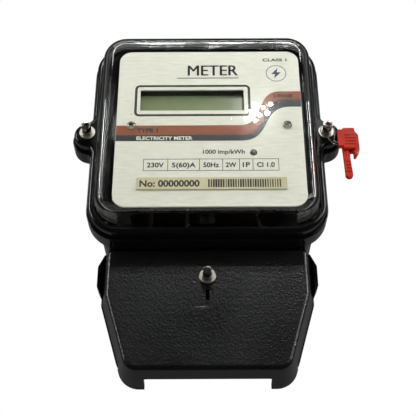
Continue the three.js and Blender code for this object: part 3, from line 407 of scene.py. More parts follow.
# Clear polycarbonate, moulded: sharp reflections, a faint smoky tint and the slow waves of a large moulding.
def makeClearPolycarbonate():
    material, tree, shader, place = startMaterial("clearPolycarbonate", "#F1F3EE", 0.015, ior=1.58)
    shader.inputs["Transmission Weight"].default_value = 1.0
    wave = addNode(tree, "ShaderNodeTexNoise", None, {"Vector": place, "Scale": perMetre(14), "Detail": 1.5})
    drawn = addNode(tree, "ShaderNodeMapping", None, {"Vector": place, "Scale": (1.0, 1.0, 0.06)})
    streak = addNode(tree, "ShaderNodeTexNoise", None, {
        "Vector": drawn.outputs["Vector"], "Scale": perMetre(1.6), "Detail": 2.0,
    })
    normal = addNode(tree, "ShaderNodeNewGeometry").outputs["Normal"]
    side = addNode(tree, "ShaderNodeVectorMath", {"operation": "DOT_PRODUCT"}, {0: normal, 1: (0, -1, 0)})
    onSide = addNode(tree, "ShaderNodeMapRange", None, {
        "Value": side.outputs["Value"], "From Min": 0.2, "From Max": 0.9, "To Min": 1.0, "To Max": 0.0,
    })
    streaks = addNode(tree, "ShaderNodeMath", {"operation": "MULTIPLY"}, {
        0: streak.outputs["Fac"], 1: onSide.outputs["Result"],
    })
    height = addNode(tree, "ShaderNodeMath", {"operation": "MULTIPLY_ADD"}, {
        0: wave.outputs["Fac"], 1: 0.5, 2: streaks.outputs[0],
    })
    bump = addNode(tree, "ShaderNodeBump", None, {
        "Height": height.outputs[0], "Strength": 0.5, "Distance": 0.00012,
    })
    tree.links.new(bump.outputs["Normal"], shader.inputs["Normal"])
    return material


# Polyester film, screen printed: ivory with a soft mottle; its satin lacquer breaks a lamp into sparkles.
def makePlateFilm(name, colour, variant, roughness=0.34):
    material, tree, shader, place = startMaterial(name, colour, roughness, ior=1.48)
    brushed = addNode(tree, "ShaderNodeMapping", None, {"Vector": place, "Scale": (1.0, 1.0, 6.0)})
    mottle = addNode(tree, "ShaderNodeTexNoise", None, {
        "Vector": brushed.outputs["Vector"], "Scale": perMetre(7), "Detail": 6.0,
    })
    shift = addNode(tree, "ShaderNodeMapRange", None, {
        "Value": mottle.outputs["Fac"], "From Min": 0.3, "From Max": 0.7, "To Min": 0.0, "To Max": 1.0,
    })
    tone = addNode(tree, "ShaderNodeMix", {"data_type": "RGBA"}, {
        0: shift.outputs["Result"], 6: linear(colour), 7: linear(variant),
    })
    peel = addNode(tree, "ShaderNodeTexVoronoi", {"feature": "SMOOTH_F1"}, {
        "Vector": place, "Scale": perMetre(1.0), "Smoothness": 0.5,
    })
    bump = addNode(tree, "ShaderNodeBump", None, {
        "Height": peel.outputs["Distance"], "Strength": 0.35, "Distance": 0.00004,
    })
    shader.inputs["Coat Weight"].default_value = 0.5
    shader.inputs["Coat Roughness"].default_value = 0.05
    tree.links.new(tone.outputs[2], shader.inputs["Base Color"])
    tree.links.new(bump.outputs["Normal"], shader.inputs["Normal"])
    tree.links.new(bump.outputs["Normal"], shader.inputs["Coat Normal"])
    return material


# Moulded plastics of the inside: satin, with a faint flow mottle and a fine tool texture.
def makeMoulded(name, colour, variant, roughness, grain=0.5, depth=0.03, ior=1.5, transmission=0.0):
    material, tree, shader, place = startMaterial(name, colour, roughness, ior=ior)
    shader.inputs["Transmission Weight"].default_value = transmission
    mottle = addNode(tree, "ShaderNodeTexNoise", None, {"Vector": place, "Scale": perMetre(6), "Detail": 5.0})
    tone = addNode(tree, "ShaderNodeMix", {"data_type": "RGBA"}, {
        0: mottle.outputs["Fac"], 6: linear(colour), 7: linear(variant),
    })
    gloss = addNode(tree, "ShaderNodeMapRange", None, {
        "Value": mottle.outputs["Fac"], "From Min": 0.3, "From Max": 0.7,
        "To Min": roughness * 0.85, "To Max": min(roughness * 1.2, 1.0),
    })
    tooth = addNode(tree, "ShaderNodeTexNoise", None, {
        "Vector": place, "Scale": perMetre(grain), "Detail": 3.0,
    })
    bump = addNode(tree, "ShaderNodeBump", None, {
        "Height": tooth.outputs["Fac"], "Strength": 0.5, "Distance": depth / 1000,
    })
    tree.links.new(tone.outputs[2], shader.inputs["Base Color"])
    tree.links.new(gloss.outputs["Result"], shader.inputs["Roughness"])
    tree.links.new(bump.outputs["Normal"], shader.inputs["Normal"])
    return material


# Turned or stamped metal: fine tool marks across it, darker where it is tarnished.
def makeMetal(name, colour, tarnish, roughness, marks=0.12, depth=0.01):
    material, tree, shader, place = startMaterial(name, colour, roughness, metallic=1.0)
    cloud = addNode(tree, "ShaderNodeTexNoise", None, {
        "Vector": place, "Scale": perMetre(2.5), "Detail": 5.0,
    })
    tone = addNode(tree, "ShaderNodeMix", {"data_type": "RGBA"}, {
        0: cloud.outputs["Fac"], 6: linear(colour), 7: linear(tarnish),
    })
    drawn = addNode(tree, "ShaderNodeMapping", None, {"Vector": place, "Scale": (1.0, 6.0, 1.0)})
    mark = addNode(tree, "ShaderNodeTexNoise", None, {
        "Vector": drawn.outputs["Vector"], "Scale": perMetre(marks * 6), "Detail": 2.0,
    })
    gloss = addNode(tree, "ShaderNodeMapRange", None, {
        "Value": cloud.outputs["Fac"], "From Min": 0.3, "From Max": 0.7,
        "To Min": roughness * 0.7, "To Max": roughness * 1.4,
    })
    bump = addNode(tree, "ShaderNodeBump", None, {
        "Height": mark.outputs["Fac"], "Strength": 0.4, "Distance": depth / 1000,
    })
    tree.links.new(tone.outputs[2], shader.inputs["Base Color"])
    tree.links.new(gloss.outputs["Result"], shader.inputs["Roughness"])
    tree.links.new(bump.outputs["Normal"], shader.inputs["Normal"])
    return material


# Paper label with a buff varnish: fibre flecks and darker, dirtier patches.
def makeLabelPaper():
    material, tree, shader, place = startMaterial("varnishedLabelPaper", "#CFC5A0", 0.45, ior=1.47)
    fibre = addNode(tree, "ShaderNodeTexNoise", None, {
        "Vector": place, "Scale": perMetre(0.8), "Detail": 5.0,
    })
    patch = addNode(tree, "ShaderNodeTexNoise", None, {"Vector": place, "Scale": perMetre(9), "Detail": 3.0})
    base = addNode(tree, "ShaderNodeMix", {"data_type": "RGBA"}, {
        0: patch.outputs["Fac"], 6: linear("#C2B891"), 7: linear("#DDD5B6"),
    })
    tone = addNode(tree, "ShaderNodeMix", {"data_type": "RGBA", "blend_type": "MULTIPLY"}, {
        0: 0.25, 6: base.outputs[2], 7: fibre.outputs["Color"],
    })
    bump = addNode(tree, "ShaderNodeBump", None, {
        "Height": fibre.outputs["Fac"], "Strength": 0.3, "Distance": 0.00002,
    })
    tree.links.new(tone.outputs[2], shader.inputs["Base Color"])
    tree.links.new(bump.outputs["Normal"], shader.inputs["Normal"])
    return material


# Glass-epoxy circuit board under green solder mask, with the woven cloth just showing.
def makeSolderMask():
    material, tree, shader, place = startMaterial("greenSolderMask", "#1F5A34", 0.32, ior=1.5)
    weave = addNode(tree, "ShaderNodeTexWave", {"wave_type": "BANDS", "bands_direction": "X"}, {
        "Vector": place, "Scale": perMetre(3), "Distortion": 0.4,
    })
    track = addNode(tree, "ShaderNodeTexVoronoi", {"distance": "CHEBYCHEV"}, {
        "Vector": place, "Scale": perMetre(5),
    })
    lines = addNode(tree, "ShaderNodeMapRange", None, {
        "Value": track.outputs["Distance"], "From Min": 0.42, "From Max": 0.46, "To Min": 0.0, "To Max": 1.0,
    })
    tone = addNode(tree, "ShaderNodeMix", {"data_type": "RGBA"}, {
        0: lines.outputs["Result"], 6: linear("#1B5230"), 7: linear("#2F7A46"),
    })
    bump = addNode(tree, "ShaderNodeBump", None, {
        "Height": weave.outputs["Fac"], "Strength": 0.2, "Distance": 0.00002,
    })
    tree.links.new(tone.outputs[2], shader.inputs["Base Color"])
    tree.links.new(bump.outputs["Normal"], shader.inputs["Normal"])
    return material


finishes = {
    "black_gloss": makePolishedAbs(),
    "black_grain": makeGrainedAbs(),
    "clear_window": makeClearPolycarbonate(),
    "black_phenolic": makeMoulded("blackPhenolic", "#16171A", "#202124", 0.5),  # pressed phenolic, dull black
    "rubber_seal": makeMoulded("nitrileRubber", "#15161A", "#1E1F22", 0.75),  # extruded rubber, matt
    "printed_plate": makePlateFilm("ivoryPlateFilm", "#E7E5DC", "#D8D6CB"),
    "printed_label": makeLabelPaper(),
    "grey_plastic": makeMoulded("charcoalAbs", "#26282A", "#303234", 0.5),  # satin ABS, dark grey; darker than its own grey to paint the shade on the walls of the display's opening
    "lcd_panel": makeMoulded("displayGlass", "#7F8A68", "#8B9576", 0.12, grain=2.5, depth=0.004, ior=1.52),
    "white_plastic": makeMoulded("whiteAbs", "#DAD9D2", "#E6E5E0", 0.42),  # satin ABS, off-white
    "silicone": makeMoulded("siliconeRubber", "#BDB9AE", "#CBC8BF", 0.6),  # translucent grey strip
    # cast epoxy, hazy and dark while the lamp is off
    "led_lens": makeMoulded("ledEpoxy", "#5C5656", "#8C8684", 0.12, grain=1.0, ior=1.54, transmission=0.2),
    "circuit_board": makeSolderMask(),
    "component_black": makeMoulded("epoxyMouldingCompound", "#141416", "#1D1D20", 0.48),
    "component_yellow": makeMoulded("polyesterFilmTape", "#D3AB2A", "#DDB93A", 0.35),
    "component_sleeve": makeMoulded("pvcSleeve", "#1A222E", "#232D3B", 0.3),
    "component_blue": makeMoulded("epoxyDipCoat", "#2B579A", "#3565A8", 0.3),
    # painted shade: the red and white leads are much darker than their own colours, for the shade inside the
    # case under the nameplate
    "lead_red": makeMoulded("redPvcPaintedShade", "#3A0F0C", "#461411", 0.4),
    "lead_white": makeMoulded("whitePvcPaintedShade", "#343432", "#3E3E3C", 0.4),
    "lead_black": makeMoulded("blackPvcInsulation", "#131314", "#1C1C1E", 0.4),
    "copper": makeMetal("rolledCopper", "#C4764A", "#8E4E30", 0.3),
    "brass": makeMetal("machinedBrass", "#D0A552", "#9C7432", 0.26),
    "nickel_steel": makeMetal("nickelPlatedSteel", "#DDD8CA", "#A8A292", 0.13),  # bright warm plate
    "zinc_steel": makeMetal("zincPlatedSteel", "#BFC2C6", "#8E9296", 0.3),  # bluish passivated plate
    "red_seal": makeMoulded("redPolystyrene", "#D22805", "#BC1D03", 0.24, grain=1.2, ior=1.46),
    "seal_wire": makeMetal("strandedSteelWire", "#C8CACC", "#8A8C90", 0.28, marks=0.3),
}
tumbledNickel = makeMetal("tumbledNickelWasher", "#EDE9DE", "#CFCABD", 0.36)  # stamped, then barrel plated
inks = {  # screen-printing inks, thin and satin over the film
    "brown": makePlateFilm("brownInk", "#8E4116", "#803A13", 0.4),
    "charcoal": makePlateFilm("charcoalInk", "#1C1F29", "#15171E", 0.4),
    "black": makePlateFilm("blackInk", "#0C0C0F", "#131316", 0.45),
    "navy": makePlateFilm("navyInk", "#2B2F66", "#24285A", 0.4),
    "white": makePlateFilm("whiteInk", "#E9E8E2", "#DFDED6", 0.4),
    # not an ink: painted shadow for the display's top band and right edge
    "olive": makePlateFilm("paintedDisplayShadow", "#3A4033", "#30362A", 0.4),
}
print("materials ready:", len(finishes) + len(inks))


window = sizeOf("window")
cover = sizeOf("cover_frame")
chamberCover = sizeOf("terminal_cover")
earScrew = sizeOf("right_sealing_screw")
coverScrew = sizeOf("terminal_sealing_screw")
film = sizeOf("nameplate")
glass = sizeOf("lcd_glass")
earX = earScrew["x"]
plateNames = ["left_plate_screw", "right_plate_screw"]
boardNames = [f"board_screw_{number}" for number in range(1, 5)]
gap = 0.3  # between pieces that rest on each other

dome = {
    "lip": 1.2, "lipDepth": 2.4, "corner": 13.5, "draft": 1.4, "edge": 6.0, "wall": 2.5, "edgeSteps": 12,
    "border": 3.0,  # the frame's width past the window
}
domeBox = (
    window["left"] + dome["lip"], window["right"] - dome["lip"],
    window["bottom"] + dome["lip"], window["top"] - dome["lip"],
)
border = dome["border"]
frameBox = (domeBox[0] - border, domeBox[1] + border, domeBox[2] - border, domeBox[3] + border)
frameCorner = dome["corner"] + border
earSize = {"radius": 7.0, "hollow": 5.0, "steps": 20}  # hollow: the fillet where an ear leaves the frame


def eared(inset=0):  # the frame's outline, a rounded rectangle with a round ear on each side
    sideX = frameBox[1] - inset
    earRadius = earSize["radius"] - inset
    hollow = earSize["hollow"] + inset
    hollowX = sideX + hollow
    hollowZ = math.sqrt((earRadius + hollow) ** 2 - (hollowX - earX) ** 2)
    meet = math.atan2(hollowZ, hollowX - earX)
    radius = frameCorner - inset
    x = sideX - radius
    steps = earSize["steps"]
    turn = math.pi - meet
    return mirrored(
        arc(x, frameBox[2] + inset + radius, radius, -math.pi / 2, 0, steps)
        + arc(hollowX, -hollowZ, hollow, math.pi, turn, steps // 2)
        + arc(earX, 0, earRadius, -meet, meet, steps)[1:-1]
        + arc(hollowX, hollowZ, hollow, 2 * math.pi - turn, math.pi, steps // 2)
        + arc(x, frameBox[3] - inset - radius, radius, 0, math.pi / 2, steps)
    )


def edgeRound(front, depth, run, steps, outlineAt, inset=0):  # sections of a quarter round that ends at front
    sections = []
    for step in range(steps + 1):
        angle = math.pi / 2 * step / steps
        sections.append((
            front - depth + depth * math.sin(angle),
            outlineAt(inset + run * (1 - math.cos(angle))),
        ))
    return sections


def domeSections(wall, back):
    def outlineAt(inset):
        return rounded(domeBox, dome["corner"], inset, 18)
    front = window["front"] - wall
    edge = dome["edge"] - wall
    return (
        [(back, outlineAt(wall)), (cover["front"], outlineAt(wall))]
        + edgeRound(front, edge, edge, dome["edgeSteps"], outlineAt, dome["draft"] + wall)
    )


def makeWindow():
    lipBack = window["back"]
    lip = slab(rounded(domeBox, dome["corner"], -dome["lip"], 18), lipBack, lipBack + dome["lipDepth"])
    shell = fuse([loft(domeSections(0, lipBack), "clear_window"), lip])
    carve(shell, [loft(domeSections(dome["wall"], lipBack - 1))])
    smooth(shell, sharp=30)
    shell.visible_shadow = False  # lamps light the nameplate through it
    return dress(shell, "cover", finishes["clear_window"], ["window"])


makeWindow()
print("window ready")


coverFrame = {"edge": 2.2, "edgeSteps": 8, "backEdge": 0.35, "hole": 2.15, "flare": 0.35}


def makeCoverFrame():
    back, front = cover["back"], cover["front"]
    soft = coverFrame["backEdge"]
    sections = [(back, eared(soft)), (back + soft * 0.3, eared(soft * 0.3)), (back + soft, eared())]
    sections += edgeRound(front, coverFrame["edge"], coverFrame["edge"], coverFrame["edgeSteps"], eared)
    rebate = window["back"] + dome["lipDepth"] + gap
    flare = coverFrame["flare"]  # a small lead-in where the window comes through
    opening = loft([
        (back - 1, rounded(domeBox, dome["corner"], -gap, 18)),
        (front - flare, rounded(domeBox, dome["corner"], -gap, 18)),
        (front + 0.01, rounded(domeBox, dome["corner"], -gap - flare, 18)),
        (front + 1, rounded(domeBox, dome["corner"], -gap - flare, 18)),
    ])
    cutters = [opening, slab(rounded(domeBox, dome["corner"], -dome["lip"] - gap, 18), back - 1, rebate)]
    for x in (-earX, earX):
        cutters.append(disc(x, 0, coverFrame["hole"], back - 1, front + 1))
    body = carve(loft(sections, "black_cover_frame"), cutters)
    smooth(body, sharp=30)
    return dress(body, "cover", finishes["black_gloss"], ["cover_frame"])


makeCoverFrame()
print("cover frame ready")


chamber = {
    "taper": 0.2976, "bendBelow": 23.3, "bendRadius": 6.0, "bottomRadius": 10.5, "topRadius": 1.2,
    "draft": 3.4, "edgeRun": 2.4, "edgeDepth": 2.6, "edgeSteps": 10, "backEdge": 0.4,
    "wall": 2.2, "faceWall": 2.5, "lean": 0.3, "innerChamfer": 1.5,  # lean: what its draft spares the wall
    "notch": 29.7, "notchDepth": 9.8, "notchFillet": 1.2,
    "slotWidth": 1.9, "slotLength": 5.5, "slotBelow": 9.6, "slotFlare": 0.25,
    "ringBelow": 5.0, "ringRadius": 2.6, "ringLine": 0.45, "ringDepth": 0.15,  # a push pin's mark
    "plateLength": 57.7, "plateCorner": 8.0, "plateThick": 3.0,
}
case = {"inset": 2.8, "rimOver": 1.2, "rimDepth": 9.7}  # how the tray and the rim sit to the window and cover
caseHalf = domeBox[1] - case["inset"]
caseTop = domeBox[3] - case["inset"]
rimBottom = chamberCover["top"] + case["rimOver"]
rimFront = cover["back"] - gap
rimBack = rimFront - case["rimDepth"]
coverScrewZ = coverScrew["z"]


def chamberOutline(inset, top, bottom, bottomRadius):
    bendZ = rimBottom - chamber["bendBelow"] - inset * math.tan(math.atan(chamber["taper"]) / 2)
    sideX = caseHalf - inset
    lowZ = bottom + inset
    lowX = sideX - chamber["taper"] * (bendZ - lowZ)
    corners = [
        (-lowX, lowZ, max(bottomRadius - inset, 1)), (lowX, lowZ, max(bottomRadius - inset, 1)),
        (sideX, bendZ, chamber["bendRadius"]), (sideX, top, chamber["topRadius"]),
        (-sideX, top, chamber["topRadius"]), (-sideX, bendZ, chamber["bendRadius"]),
    ]
    return filleted(corners, 14)


def notchCutter(half, depth, fillet, bottom, top):  # an upright bar with rounded corners, open to the wall
    outline = rounded((-half, half, -depth * 2, depth), fillet, 0, 6)  # (x, out) here
    build = bmesh.new()
    low, high = [[build.verts.new(toMetres(x, out, z)) for x, out in outline] for z in (bottom, top)]
    for step in range(len(outline)):
        after = (step + 1) % len(outline)
        build.faces.new((low[step], low[after], high[after], high[step]))
    build.faces.new(low)
    build.faces.new(high)
    return newPiece("notch", meshOf(build, "notch"))


def slotCutter(front):
    half, long, flare = chamber["slotWidth"] / 2, chamber["slotLength"] / 2, chamber["slotFlare"]
    z = coverScrewZ - chamber["slotBelow"]
    box = (-half, half, z - long, z + long)
    return loft([
        (front - 6, rounded(box, half)), (front - flare, rounded(box, half)),
        (front + 0.01, rounded(box, half + flare, -flare)), (front + 1, rounded(box, half, -flare)),
    ])


def ringCutter(front, z):
    radius = chamber["ringRadius"]
    disk = disc(0, z, radius, front - chamber["ringDepth"], front + 1)
    return carve(disk, [disc(0, z, radius - chamber["ringLine"], front - 1, front + 2)])


def makeTerminalCover():
    bottom, front, top = chamberCover["bottom"], chamberCover["front"], chamberCover["top"]

    def outlineAt(inset):
        return chamberOutline(inset, top, bottom, chamber["bottomRadius"])

    def hollowAt(inset):
        return chamberOutline(inset, top + 3, bottom, chamber["bottomRadius"])

    soft = chamber["backEdge"]
    outer = [(chamberCover["back"], outlineAt(soft)), (chamberCover["back"] + soft, outlineAt(0))]
    outer += edgeRound(
        front, chamber["edgeDepth"], chamber["edgeRun"], chamber["edgeSteps"], outlineAt, chamber["draft"],
    )
    body = loft(outer, "grained_terminal_cover")
    wall, chamfer, face = chamber["wall"], chamber["innerChamfer"], front - chamber["faceWall"]
    side = wall + chamber["draft"] - chamber["lean"]
    inner = loft([(-1, hollowAt(wall)), (face - chamfer, hollowAt(side)), (face, hollowAt(side + chamfer))])
    plateEnd = rimBottom - chamber["plateLength"]
    plateRoom = chamberOutline(-gap, top + 3, plateEnd - gap, chamber["plateCorner"])
    notchTop = bottom + chamber["bottomRadius"]
    cutters = [
        inner, slab(plateRoom, -1, chamber["plateThick"] + gap),
        notchCutter(chamber["notch"], chamber["notchDepth"], chamber["notchFillet"], bottom - 1, notchTop),
        slotCutter(front),
        disc(0, coverScrewZ, coverFrame["hole"], front - 6, front + 1),
        ringCutter(front, top - chamber["ringBelow"]),
    ]
    body = carve(body, cutters)
    smooth(body, sharp=30)
    return dress(body, "terminal_cover", finishes["black_grain"], ["terminal_cover"])


makeTerminalCover()
print("terminal cover ready")


base = {
    "rimStep": 1.3, "rimWall": 5.5, "edge": 0.7,
    "caseCorner": 9.0, "caseWall": 2.5, "backWall": 3.0, "shelf": 3.0,
    "tabReach": 2.1, "tabRoot": 4.0, "tabLength": 21.6, "tabTop": 2.3, "tabOut": 8.0,
    "tabLowBevel": 4.6, "tabHighBevel": 6.44,
    "postRadius": 3.2, "bossRadius": 3.0, "screwBore": 1.55, "boreSpare": 0.7, "insertBore": 3.1,
    "fixingX": 26.0, "fixingBelow": 8.0, "fixingRadius": 2.6, "fixingPad": 5.0, "fixingRise": 0.5,
    "hangerPad": 6.0, "hangerSide": 3.0, "hangerBelow": 5.0, "hangerBore": 1.7,
    "barBack": 5.75, "barFront": 9.35, "grooveOut": 1.1, "grooveIn": 0.7,
}


def makeSideTab(side):
    inner, outer = caseHalf - base["tabRoot"], caseHalf + base["tabReach"]
    top = rimBottom + base["tabTop"]
    bottom = top - base["tabLength"]
    corners = [
        (inner, bottom, 0.3), (caseHalf, bottom, 0.3), (outer, bottom + base["tabLowBevel"], 1.0),
        (outer, top - base["tabHighBevel"], 3.0), (caseHalf - 1, top, 0.5), (inner, top, 0.3),
    ]
    outline = filleted(corners)
    if side < 0:
        outline = [(-x, z) for x, z in reversed(outline)]
    return slab(outline, 0, base["tabOut"])


def outerShell(front):  # the rim, the tray behind it, the plate behind the terminals and the side tabs
    step, soft = base["rimStep"], base["edge"]
    backEdge = [(0, soft - step), (soft * 0.3, soft * 0.3 - step), (soft, -step)]
    sections = [(rimBack + out, eared(inset)) for out, inset in backEdge]
    rim = loft(sections + edgeRound(front, soft, soft, 4, eared, -step), "black_base_housing")
    tray = slab(rounded((-caseHalf, caseHalf, rimBottom, caseTop), base["caseCorner"]), 0, rimBack + 1)
    plateEnd = rimBottom - chamber["plateLength"]
    plateOutline = chamberOutline(0, rimBottom + 4, plateEnd, chamber["plateCorner"])
    backPlate = slab(plateOutline, 0, base["backWall"])
    room = chamberOutline(-gap, rimBottom, chamberCover["bottom"], chamber["bottomRadius"])
    parts = [rim, tray, backPlate]
    for side in (-1, 1):
        parts.append(carve(makeSideTab(side), [slab(room, base["backWall"], front + 1)]))
    return parts


def hollowCutters(front):
    wall = base["rimWall"] - base["rimStep"]
    floorZ = rimBottom + base["rimWall"]
    side, head = caseHalf - base["caseWall"], caseTop - base["caseWall"]
    caseHole = rounded((-side, side, floorZ, head), base["caseCorner"] - base["caseWall"])
    rimBox = (frameBox[0] + wall, frameBox[1] - wall, floorZ, frameBox[3] - wall)
    rimHole = rounded(rimBox, frameCorner + base["rimStep"] - base["rimWall"])
    return [slab(caseHole, base["backWall"], front + 1), slab(rimHole, rimBack + base["shelf"], front + 1)]


def makeBase():
    front, floor = rimFront, base["backWall"]
    parts = outerShell(front)
    hanger = sizeOf("hanger_bracket")
    plateScrews = [sizeOf(name) for name in plateNames]
    boardScrews = [sizeOf(name) for name in boardNames]
    carrierBack, boardBack = sizeOf("plate_carrier")["back"], sizeOf("main_board")["back"]
    for screw in plateScrews:
        parts.append(disc(screw["x"], screw["z"], base["postRadius"], floor - 1, carrierBack - gap))
    for screw in boardScrews:
        parts.append(disc(screw["x"], screw["z"], base["bossRadius"], floor - 1, boardBack - gap))
    shell = carve(fuse(parts[:2]), hollowCutters(front))
    body = fuse([shell, *parts[2:]])
    padHalf = hanger["right"] + base["hangerSide"]
    padBottom = hanger["bottom"] - base["hangerBelow"]
    pad = block(-padHalf, padHalf, floor - 1, base["hangerPad"], padBottom, caseTop - 1)
    fixingZ = sizeOf("terminal_block")["bottom"] - base["fixingBelow"]
    fixingFront = floor + base["fixingRise"]
    fixings = [(-base["fixingX"], fixingZ), (base["fixingX"], fixingZ)]
    wallPads = [disc(x, z, base["fixingPad"], floor - 1, fixingFront) for x, z in fixings]
    body = fuse([body, pad, *wallPads])
    grooveBack = sizeOf("cover_gasket")["back"] - gap
    groove = slab(rounded(domeBox, dome["corner"], -base["grooveOut"], 18), grooveBack, front + 1)
    core = slab(rounded(domeBox, dome["corner"], base["grooveIn"], 18), 0, front + 2)
    cutters = [carve(groove, [core])]
    insertBack = sizeOf("right_insert")["back"] - gap
    for x in (-earX, earX):
        cutters.append(disc(x, 0, base["insertBore"], insertBack, front + 1))
    for name in ("line_in", "line_out", "neutral_in", "neutral_out"):
        bar = sizeOf(f"{name}_terminal")
        left, right = bar["left"] - gap, bar["right"] + gap
        top = rimBottom + base["rimWall"] + 1
        cutters.append(block(left, right, base["barBack"], base["barFront"], rimBottom - 1, top))
    for screw in plateScrews + boardScrews:
        start = screw["back"] - base["boreSpare"]
        cutters.append(disc(screw["x"], screw["z"], base["screwBore"], start, screw["front"] + 3, 24))
    cutters.append(block(
        hanger["left"] - 1, hanger["right"] + 1, -1, floor, hanger["bottom"] - 2, caseTop + 1,
    ))
    hangerScrew = sizeOf("hanger_screw")
    cutters.append(disc(0, hangerScrew["z"], base["hangerBore"], 0, hangerScrew["front"] + gap, 24))
    cutters += [disc(x, z, base["fixingRadius"], -1, fixingFront + 1) for x, z in fixings]
    body = carve(body, cutters)
    smooth(body, sharp=30)
    return dress(body, "base", finishes["black_gloss"], ["base_housing"])


makeBase()
print("base housing ready")


def screwTree():  # puts one fastener on each point, each with its own turn
    tree = bpy.data.node_groups.new("placeFasteners", "GeometryNodeTree")
    for name, kind in (
        ("Places", "NodeSocketGeometry"), ("Fastener", "NodeSocketObject"),
        ("Turn", "NodeSocketFloat"), ("Finish", "NodeSocketMaterial"),
    ):
        tree.interface.new_socket(name, in_out="INPUT", socket_type=kind)
    tree.interface.new_socket("Fasteners", in_out="OUTPUT", socket_type="NodeSocketGeometry")
    start = addNode(tree, "NodeGroupInput")
    points = addNode(tree, "GeometryNodeMeshToPoints", None, {"Mesh": start.outputs["Places"]})
    chosen = addNode(tree, "GeometryNodeObjectInfo", None, {"Object": start.outputs["Fastener"]})
    spread = addNode(tree, "FunctionNodeRandomValue", {"data_type": "FLOAT"}, {
        2: 0.0, 3: start.outputs["Turn"], "Seed": 5,
    })
    angle = addNode(tree, "ShaderNodeCombineXYZ", None, {"Y": spread.outputs[1]})
    copies = addNode(tree, "GeometryNodeInstanceOnPoints", None, {
        "Points": points.outputs["Points"], "Instance": chosen.outputs["Geometry"],
        "Rotation": angle.outputs["Vector"],
    })
    real = addNode(tree, "GeometryNodeRealizeInstances", None, {"Geometry": copies.outputs["Instances"]})
    dressed = addNode(tree, "GeometryNodeSetMaterial", None, {
        "Geometry": real.outputs["Geometry"], "Material": start.outputs["Finish"],
    })
    addNode(tree, "NodeGroupOutput", None, {"Fasteners": dressed.outputs["Geometry"]})
    return tree


fastenerTree = screwTree()


def runTree(tree, piece, values):  # values by the input's name
    step = piece.modifiers.new("nodes", "NODES")
    step.node_group = tree
    for item in tree.interface.items_tree:
        if item.in_out == "INPUT" and item.name in values:
            step[item.identifier] = values[item.name]
    return applied(piece)


def placeFasteners(name, fastener, spots, body, finish, replaced, turn=6.0):
    mesh = bpy.data.meshes.new(name)
    mesh.from_pydata([toMetres(*spot) for spot in spots], [], [])
    piece = newPiece(name, mesh)
    runTree(fastenerTree, piece, {"Fastener": fastener, "Turn": turn, "Finish": finish})
    for face in piece.data.polygons:
        face.use_smooth = True
    return dress(piece, body, finish, replaced)


def crossCutter(top, length, width, depth, narrowing=0.62):  # a cross recess that narrows towards its floor
    bars = []
    for half, thin in ((length / 2, width / 2), (width / 2, length / 2)):
        wide = [(-half, -thin), (half, -thin), (half, thin), (-half, thin)]
        narrow = [(x * narrowing, z * narrowing) for x, z in wide]
        bars.append(loft([(top - depth, narrow), (top + 0.5, wide)]))
    return fuse(bars)


sealingScrew = {  # a tall round head, drilled across for seal wire
    "head": 2.4, "height": 6.0, "shank": 1.75, "length": 14.6, "edge": 0.55, "thread": 0.12, "pitch": 0.9,
    "holeRadius": 0.75, "holeBelow": 2.0, "recessWidth": 0.95, "recessLength": 3.1, "recessDepth": 1.5,
}


def makeSealingScrew():  # its seat, under the head, lies at out 0
    s = sealingScrew
    top, soft, point = s["height"], s["edge"], -s["length"]
    core = s["shank"] - s["thread"]
    profile = [(0, point), (s["shank"] - 0.5, point)]
    turns = int((s["length"] - 1.2) / s["pitch"])
    for turn in range(turns):
        low = point + 0.6 + turn * s["pitch"]
        profile += [(core, low), (s["shank"], low + s["pitch"] / 2)]
    profile += [(core, -0.3), (core, 0), (s["head"] - 0.2, 0), (s["head"], 0.2)]
    for step in range(6):
        angle = math.pi / 2 * step / 5
        profile.append((s["head"] - soft * (1 - math.cos(angle)), top - soft + soft * math.sin(angle)))
    profile.append((0, top))
    body = turned(profile, 0, 0, 48, "sealingScrewMaster")
    hole = rodAlong((-4, top - s["holeBelow"], 0), (4, top - s["holeBelow"], 0), s["holeRadius"])
    carve(body, [hole, crossCutter(top, s["recessLength"], s["recessWidth"], s["recessDepth"])])
    return smooth(body, sharp=28)


washer = {"radius": 4.0, "hole": 2.05, "thick": 0.8, "edge": 0.15}


def makeWasher():  # its back lies at out 0
    outer, inner, thick, soft = washer["radius"], washer["hole"], washer["thick"], washer["edge"]
    profile = [
        (inner, soft), (inner + soft, 0), (outer - soft, 0), (outer, soft),
        (outer, thick - soft), (outer - soft, thick), (inner + soft, thick), (inner, thick - soft),
    ]
    body = turned(profile + profile[:1], 0, 0, 64, "washerMaster")
    build = bmesh.new()
    build.from_mesh(body.data)
    bmesh.ops.remove_doubles(build, verts=build.verts, dist=1e-7)
    body.data = meshOf(build, "washerMaster")
    return smooth(body, sharp=28)


panScrew = {"head": 2.4, "length": 8.9, "shank": 1.25, "plateHeight": 1.6, "boardHeight": 1.4}


def makePanScrew(height):  # its seat, under the head, lies at out 0
    head, length, shank = panScrew["head"], panScrew["length"], panScrew["shank"]
    rise = height * 0.9  # the domed part of the head
    edge = height - rise
    profile = [(0, -length), (shank - 0.4, -length), (shank, -length + 0.5), (shank, 0)]
    profile += [(head, 0), (head, edge)]
    steps = 8
    for step in range(1, steps):
        angle = math.pi / 2 * step / steps
        radius = head * (0.45 * math.cos(angle) + 0.55 * (1 - step / steps))
        profile.append((radius, edge + rise * math.sin(angle)))
    profile.append((0, height))
    body = turned(profile, 0, 0, 40, "panScrewMaster")
    carve(body, [crossCutter(height, head * 1.15, head * 0.3, height * 0.75)])
    return smooth(body, sharp=28)


